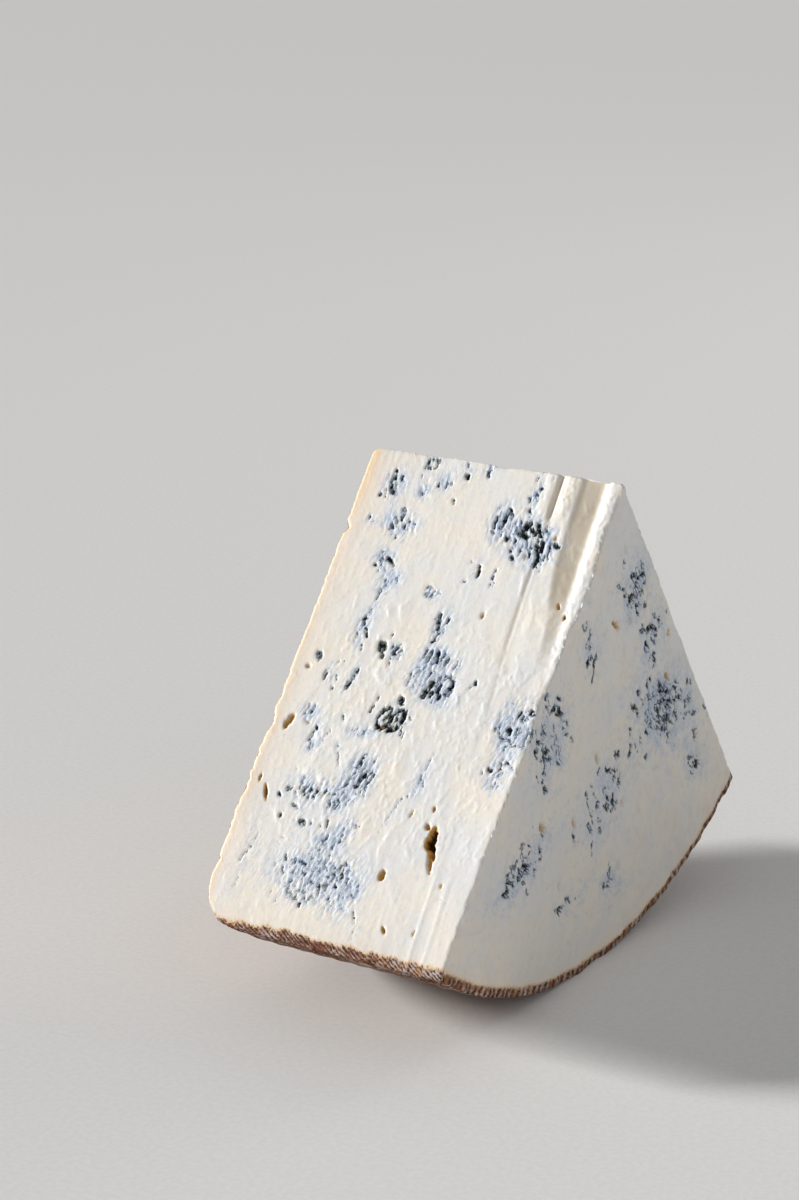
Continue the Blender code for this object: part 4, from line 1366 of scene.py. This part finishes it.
def rind_material(colours):
    """Natural rind, pressed by its mould's mat and washed, then left to bloom.

    It is dry and matt: reddish-brown smear between grey-white bloom on the ribs' tops.
    """
    material, tree, shader = new_material("natural_rind")
    place = add_node(tree, "TexCoord", {}, "Object")
    _, _, phase, pressed = attribute_parts(tree, "finish")
    base, height = rind_look(tree, place, phase, pressed, colours)
    tree.links.new(base, shader.inputs["Base Color"])
    bump = add_node(tree, "Bump", {"Strength": 0.7, "Distance": 0.4 * MM, "Height": height})
    tree.links.new(bump, shader.inputs["Normal"])
    shader.inputs["Roughness"].default_value = 0.82
    shader.inputs["IOR"].default_value = 1.4
    return material


def floor_material(colours):
    """Matt laminate: an even pale sheet with a faint, very fine tooth."""
    material, tree, shader = new_material("pale_laminate")
    place = add_node(tree, "TexCoord", {}, "Object")
    tooth = add_node(tree, "TexNoise", grain(place, 1.5, 2.0, 0.50))
    base = covered(tree, linear(colours.floor), [(tooth, 0.3, 0.7, 1.0, colours.floor_tooth)])
    tree.links.new(base, shader.inputs["Base Color"])
    shader.inputs["Roughness"].default_value = 0.7
    shader.inputs["Specular IOR Level"].default_value = 0.15
    return material


# ---------------------------------------------------------------- settings


class CheeseShape(bpy.types.PropertyGroup):
    front_spacing: FloatProperty(
        name="Front spacing", description="Millimetres between the front's points",
        default=0.395, min=0.3, max=3.0,
    )
    back_spacing: FloatProperty(
        name="Back spacing", description="Millimetres between points on the back and rind",
        default=1.6, min=0.6, max=5.0,
    )
    halving_spacing: FloatProperty(
        name="Halving cut spacing", description="Millimetres between the side cut's points",
        default=1.05, min=0.5, max=5.0,
    )
    rib_spacing: FloatProperty(
        name="Rib spacing", description="Millimetres between points across the rind's ribs",
        default=0.5, min=0.3, max=3.0,
    )


class CheeseColours(bpy.types.PropertyGroup):
    paste: StringProperty(
        name="Paste", description="sRGB hex of fresh paste", default="#F5EDE0",
    )
    paste_cool: StringProperty(
        name="Cool paste", description="sRGB hex of the cooler clouds in the paste", default="#ECEBE8",
    )
    paste_shade: StringProperty(
        name="Paste shade", description="sRGB hex of the paste's small duller spots", default="#EADFCF",
    )
    warm_rim: StringProperty(
        name="Warm rim", description="sRGB hex of the paste close to the rind", default="#F4D9B4",
    )
    # painted shade: a darker beige laid in the knife's channel and groove, where shade falls
    channel_shade: StringProperty(
        name="Painted channel shade", description="sRGB hex of the painted shade in the knife's channel and groove", default="#CFC0A6",
    )
    bloom: StringProperty(
        name="Blue bloom", description="sRGB hex of the halo round the veins", default="#CAD5E4",
    )
    mould_blue: StringProperty(
        name="Blue mould", description="sRGB hex of young mould on the bluish veins", default="#74869F",
    )
    mould_green: StringProperty(
        name="Green mould", description="sRGB hex of young mould on the greenish veins", default="#6E7866",
    )
    mould_dark_blue: StringProperty(
        name="Dark blue mould", description="sRGB hex of old mould on the bluish veins", default="#121A24",
    )
    mould_dark_green: StringProperty(
        name="Dark green mould", description="sRGB hex of old mould on the greenish veins", default="#141A12",
    )
    eye_rim: StringProperty(
        name="Eye rim", description="sRGB hex of an open eye's wall", default="#C89A4A",
    )
    eye_deep: StringProperty(
        name="Deep eye", description="sRGB hex of an open eye's bottom", default="#3A2008",
    )
    rind_brown: StringProperty(
        name="Brown rind", description="sRGB hex of the rind's smear", default="#80492E",
    )
    rind_tan: StringProperty(
        name="Tan rind", description="sRGB hex of the smear's paler clouds", default="#A47241",
    )
    rind_red: StringProperty(
        name="Red rind", description="sRGB hex of the smear's redder spots", default="#8C4027",
    )
    rind_bloom: StringProperty(
        name="Rind bloom", description="sRGB hex of the bloom on the rind", default="#CDC5C2",
    )
    rind_dark: StringProperty(
        name="Dark rind", description="sRGB hex of the pits and troughs of the rind", default="#38210F",
    )
    rind_gold: StringProperty(
        name="Golden fringe", description="sRGB hex of the fringe between paste and rind", default="#DCAE70",
    )
    floor: StringProperty(
        name="Floor", description="sRGB hex of the laminate", default="#F1EFEB",
    )
    floor_tooth: StringProperty(
        name="Floor tooth", description="sRGB hex of the laminate's tooth", default="#ECEAE6",
    )


class CheeseStage(bpy.types.PropertyGroup):
    camera_place: FloatVectorProperty(
        name="Camera place", description="Where the camera stands", subtype="XYZ",
        unit="LENGTH", size=3, default=(0.36258, -0.64212, 0.31245),
    )
    camera_turn: FloatProperty(
        name="Camera turn", description="Turn from looking along +Y, towards -X",
        subtype="ANGLE", default=math.radians(31.348),
    )
    camera_drop: FloatProperty(
        name="Camera drop", description="Angle looked down by",
        subtype="ANGLE", default=math.radians(16.152),
    )
    lens: FloatProperty(
        name="Lens", description="Focal length", unit="CAMERA", default=84.63,
    )
    key_from: FloatVectorProperty(
        name="Key from", description="Direction the key light comes from", subtype="XYZ",
        size=3, default=(-1.25, -0.52, 0.46),
    )
    key_spread: FloatProperty(
        name="Key spread", description="Angle the key light covers: wider is softer",
        subtype="ANGLE", default=math.radians(11),
    )
    key_power: FloatProperty(name="Key light", description="Strength", default=3.9)
    fill_power: FloatProperty(name="Fill light", description="Power", subtype="POWER",
                              default=3.0)
    back_power: FloatProperty(name="Back light", description="Power", subtype="POWER",
                              default=2.0)
    room: FloatProperty(name="Room light", description="Strength of the even light",
                        default=0.30)


# ---------------------------------------------------------------- operators


class CHEESE_OT_wedge(bpy.types.Operator):
    """Builds the wedge: one closed skin of paste and rind, with its relief and veins"""

    bl_idname = "cheese.wedge"
    bl_label = "Cheese wedge"

    def execute(self, context):
        scene = context.scene
        mesh = build_skin(scene.cheese_shape).mesh("cheese", axis_in_row())
        face_outwards(mesh)
        mesh.materials.append(paste_material(scene.cheese_colours))
        mesh.materials.append(rind_material(scene.cheese_colours))
        mesh.shade_smooth()
        piece = bpy.data.objects.new("cheese", mesh)
        scene.collection.objects.link(piece)
        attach(piece, "root")
        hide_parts("cheese_wedge")
        return {"FINISHED"}


def area_light(scene, name, place, target, power, size, colour):
    """Adds a round soft light at place that shines at target and stays out of sight."""
    light = bpy.data.lights.new(name, "AREA")
    light.shape = "DISK"
    light.size = size
    light.energy = power
    light.color = linear(colour)[:3]
    lamp = bpy.data.objects.new(name, light)
    lamp.location = place
    away = Vector(place) - Vector(target)
    lamp.rotation_euler = away.to_track_quat("Z", "Y").to_euler()
    lamp.visible_camera = False
    scene.collection.objects.link(lamp)


def floor_mesh(radius, rings, spokes):
    """A disc of rings whose radii grow as the square of their number, closed at its middle."""
    share = np.linspace(0, 1, rings + 1)[1:] ** 2
    angle = np.linspace(0, 2 * math.pi, spokes, endpoint=False)
    x = radius * share[:, None] * np.cos(angle)[None]
    y = radius * share[:, None] * np.sin(angle)[None]
    points = np.stack([x, y, np.zeros_like(x)], axis=-1).reshape(-1, 3)
    points = np.concatenate([[[0, 0, 0]], points])
    ring = 1 + np.arange(rings * spokes).reshape(rings, spokes)
    after = np.roll(ring, -1, axis=1)
    quads = np.stack([ring[:-1], ring[1:], after[1:], after[:-1]], axis=-1).reshape(-1, 4)
    fan = np.stack([np.zeros(spokes, int), ring[0], after[0]], axis=1)
    mesh = bpy.data.meshes.new("floor")
    mesh.from_pydata(points.tolist(), [], fan.tolist() + quads.tolist())
    return mesh


class CHEESE_OT_stage(bpy.types.Operator):
    """Builds the pale floor, the soft lights and the camera"""

    bl_idname = "cheese.stage"
    bl_label = "Stage"

    def execute(self, context):
        scene = context.scene
        stage = scene.cheese_stage
        floor = bpy.data.objects.new("floor", floor_mesh(14.0, 24, 96))
        floor.data.materials.append(floor_material(scene.cheese_colours))
        scene.collection.objects.link(floor)
        middle = (0.0, 0.0, 0.06)
        key = bpy.data.lights.new("key", "SUN")
        key.energy = stage.key_power
        key.angle = stage.key_spread
        lamp = bpy.data.objects.new("key", key)
        lamp.rotation_euler = Vector(stage.key_from).to_track_quat("Z", "Y").to_euler()
        scene.collection.objects.link(lamp)
        area_light(scene, "fill", (1.3, -1.0, 0.7), middle, stage.fill_power, 1.2, "#F2F5FF")
        area_light(scene, "back", (0.5, 1.3, 0.9), middle, stage.back_power, 0.8, "#FFFFFF")
        world = bpy.data.worlds.new("room")
        world.use_nodes = True
        even = world.node_tree.nodes["Background"]
        even.inputs["Color"].default_value = linear("#EDEFF2")
        even.inputs["Strength"].default_value = stage.room
        scene.world = world
        lens = bpy.data.cameras.new("camera")
        lens.lens = stage.lens
        lens.sensor_width = 36.0
        lens.clip_start = 0.01
        camera = bpy.data.objects.new("camera", lens)
        camera.location = stage.camera_place
        upright = math.radians(90)
        camera.rotation_euler = (upright - stage.camera_drop, 0, stage.camera_turn)
        scene.collection.objects.link(camera)
        scene.camera = camera
        scene.view_settings.view_transform = "Standard"
        return {"FINISHED"}


class CHEESE_PT_panel(bpy.types.Panel):
    """Lists the parts of the scene"""

    bl_idname = "CHEESE_PT_panel"
    bl_label = "Cheese wedge"
    bl_space_type = "VIEW_3D"
    bl_region_type = "UI"
    bl_category = "Cheese"

    def draw(self, context):
        for operator in (CHEESE_OT_wedge, CHEESE_OT_stage):
            self.layout.operator(operator.bl_idname)


CLASSES = (
    CheeseShape, CheeseColours, CheeseStage, CHEESE_OT_wedge, CHEESE_OT_stage,
    CHEESE_PT_panel,
)


def register():
    """Registers the classes and hangs their settings on the scene."""
    for item in CLASSES:
        bpy.utils.register_class(item)
    bpy.types.Scene.cheese_shape = PointerProperty(type=CheeseShape)
    bpy.types.Scene.cheese_colours = PointerProperty(type=CheeseColours)
    bpy.types.Scene.cheese_stage = PointerProperty(type=CheeseStage)


def unregister():
    """Takes back what register did, in the opposite order."""
    del bpy.types.Scene.cheese_stage
    del bpy.types.Scene.cheese_colours
    del bpy.types.Scene.cheese_shape
    for item in reversed(CLASSES):
        bpy.utils.unregister_class(item)


def clear_startup():
    """Removes what the startup file brings, but not the frame's own nodes and bodies."""
    kept = set(frame["nodes"].values()) | set(frame["bodies"].values())
    for item in list(bpy.data.objects):
        if item not in kept:
            bpy.data.objects.remove(item, do_unlink=True)


def main():
    """Builds the wedge and its stage."""
    clear_startup()
    register()
    bpy.ops.cheese.wedge()
    bpy.ops.cheese.stage()


if __name__ == "__main__":
    main()
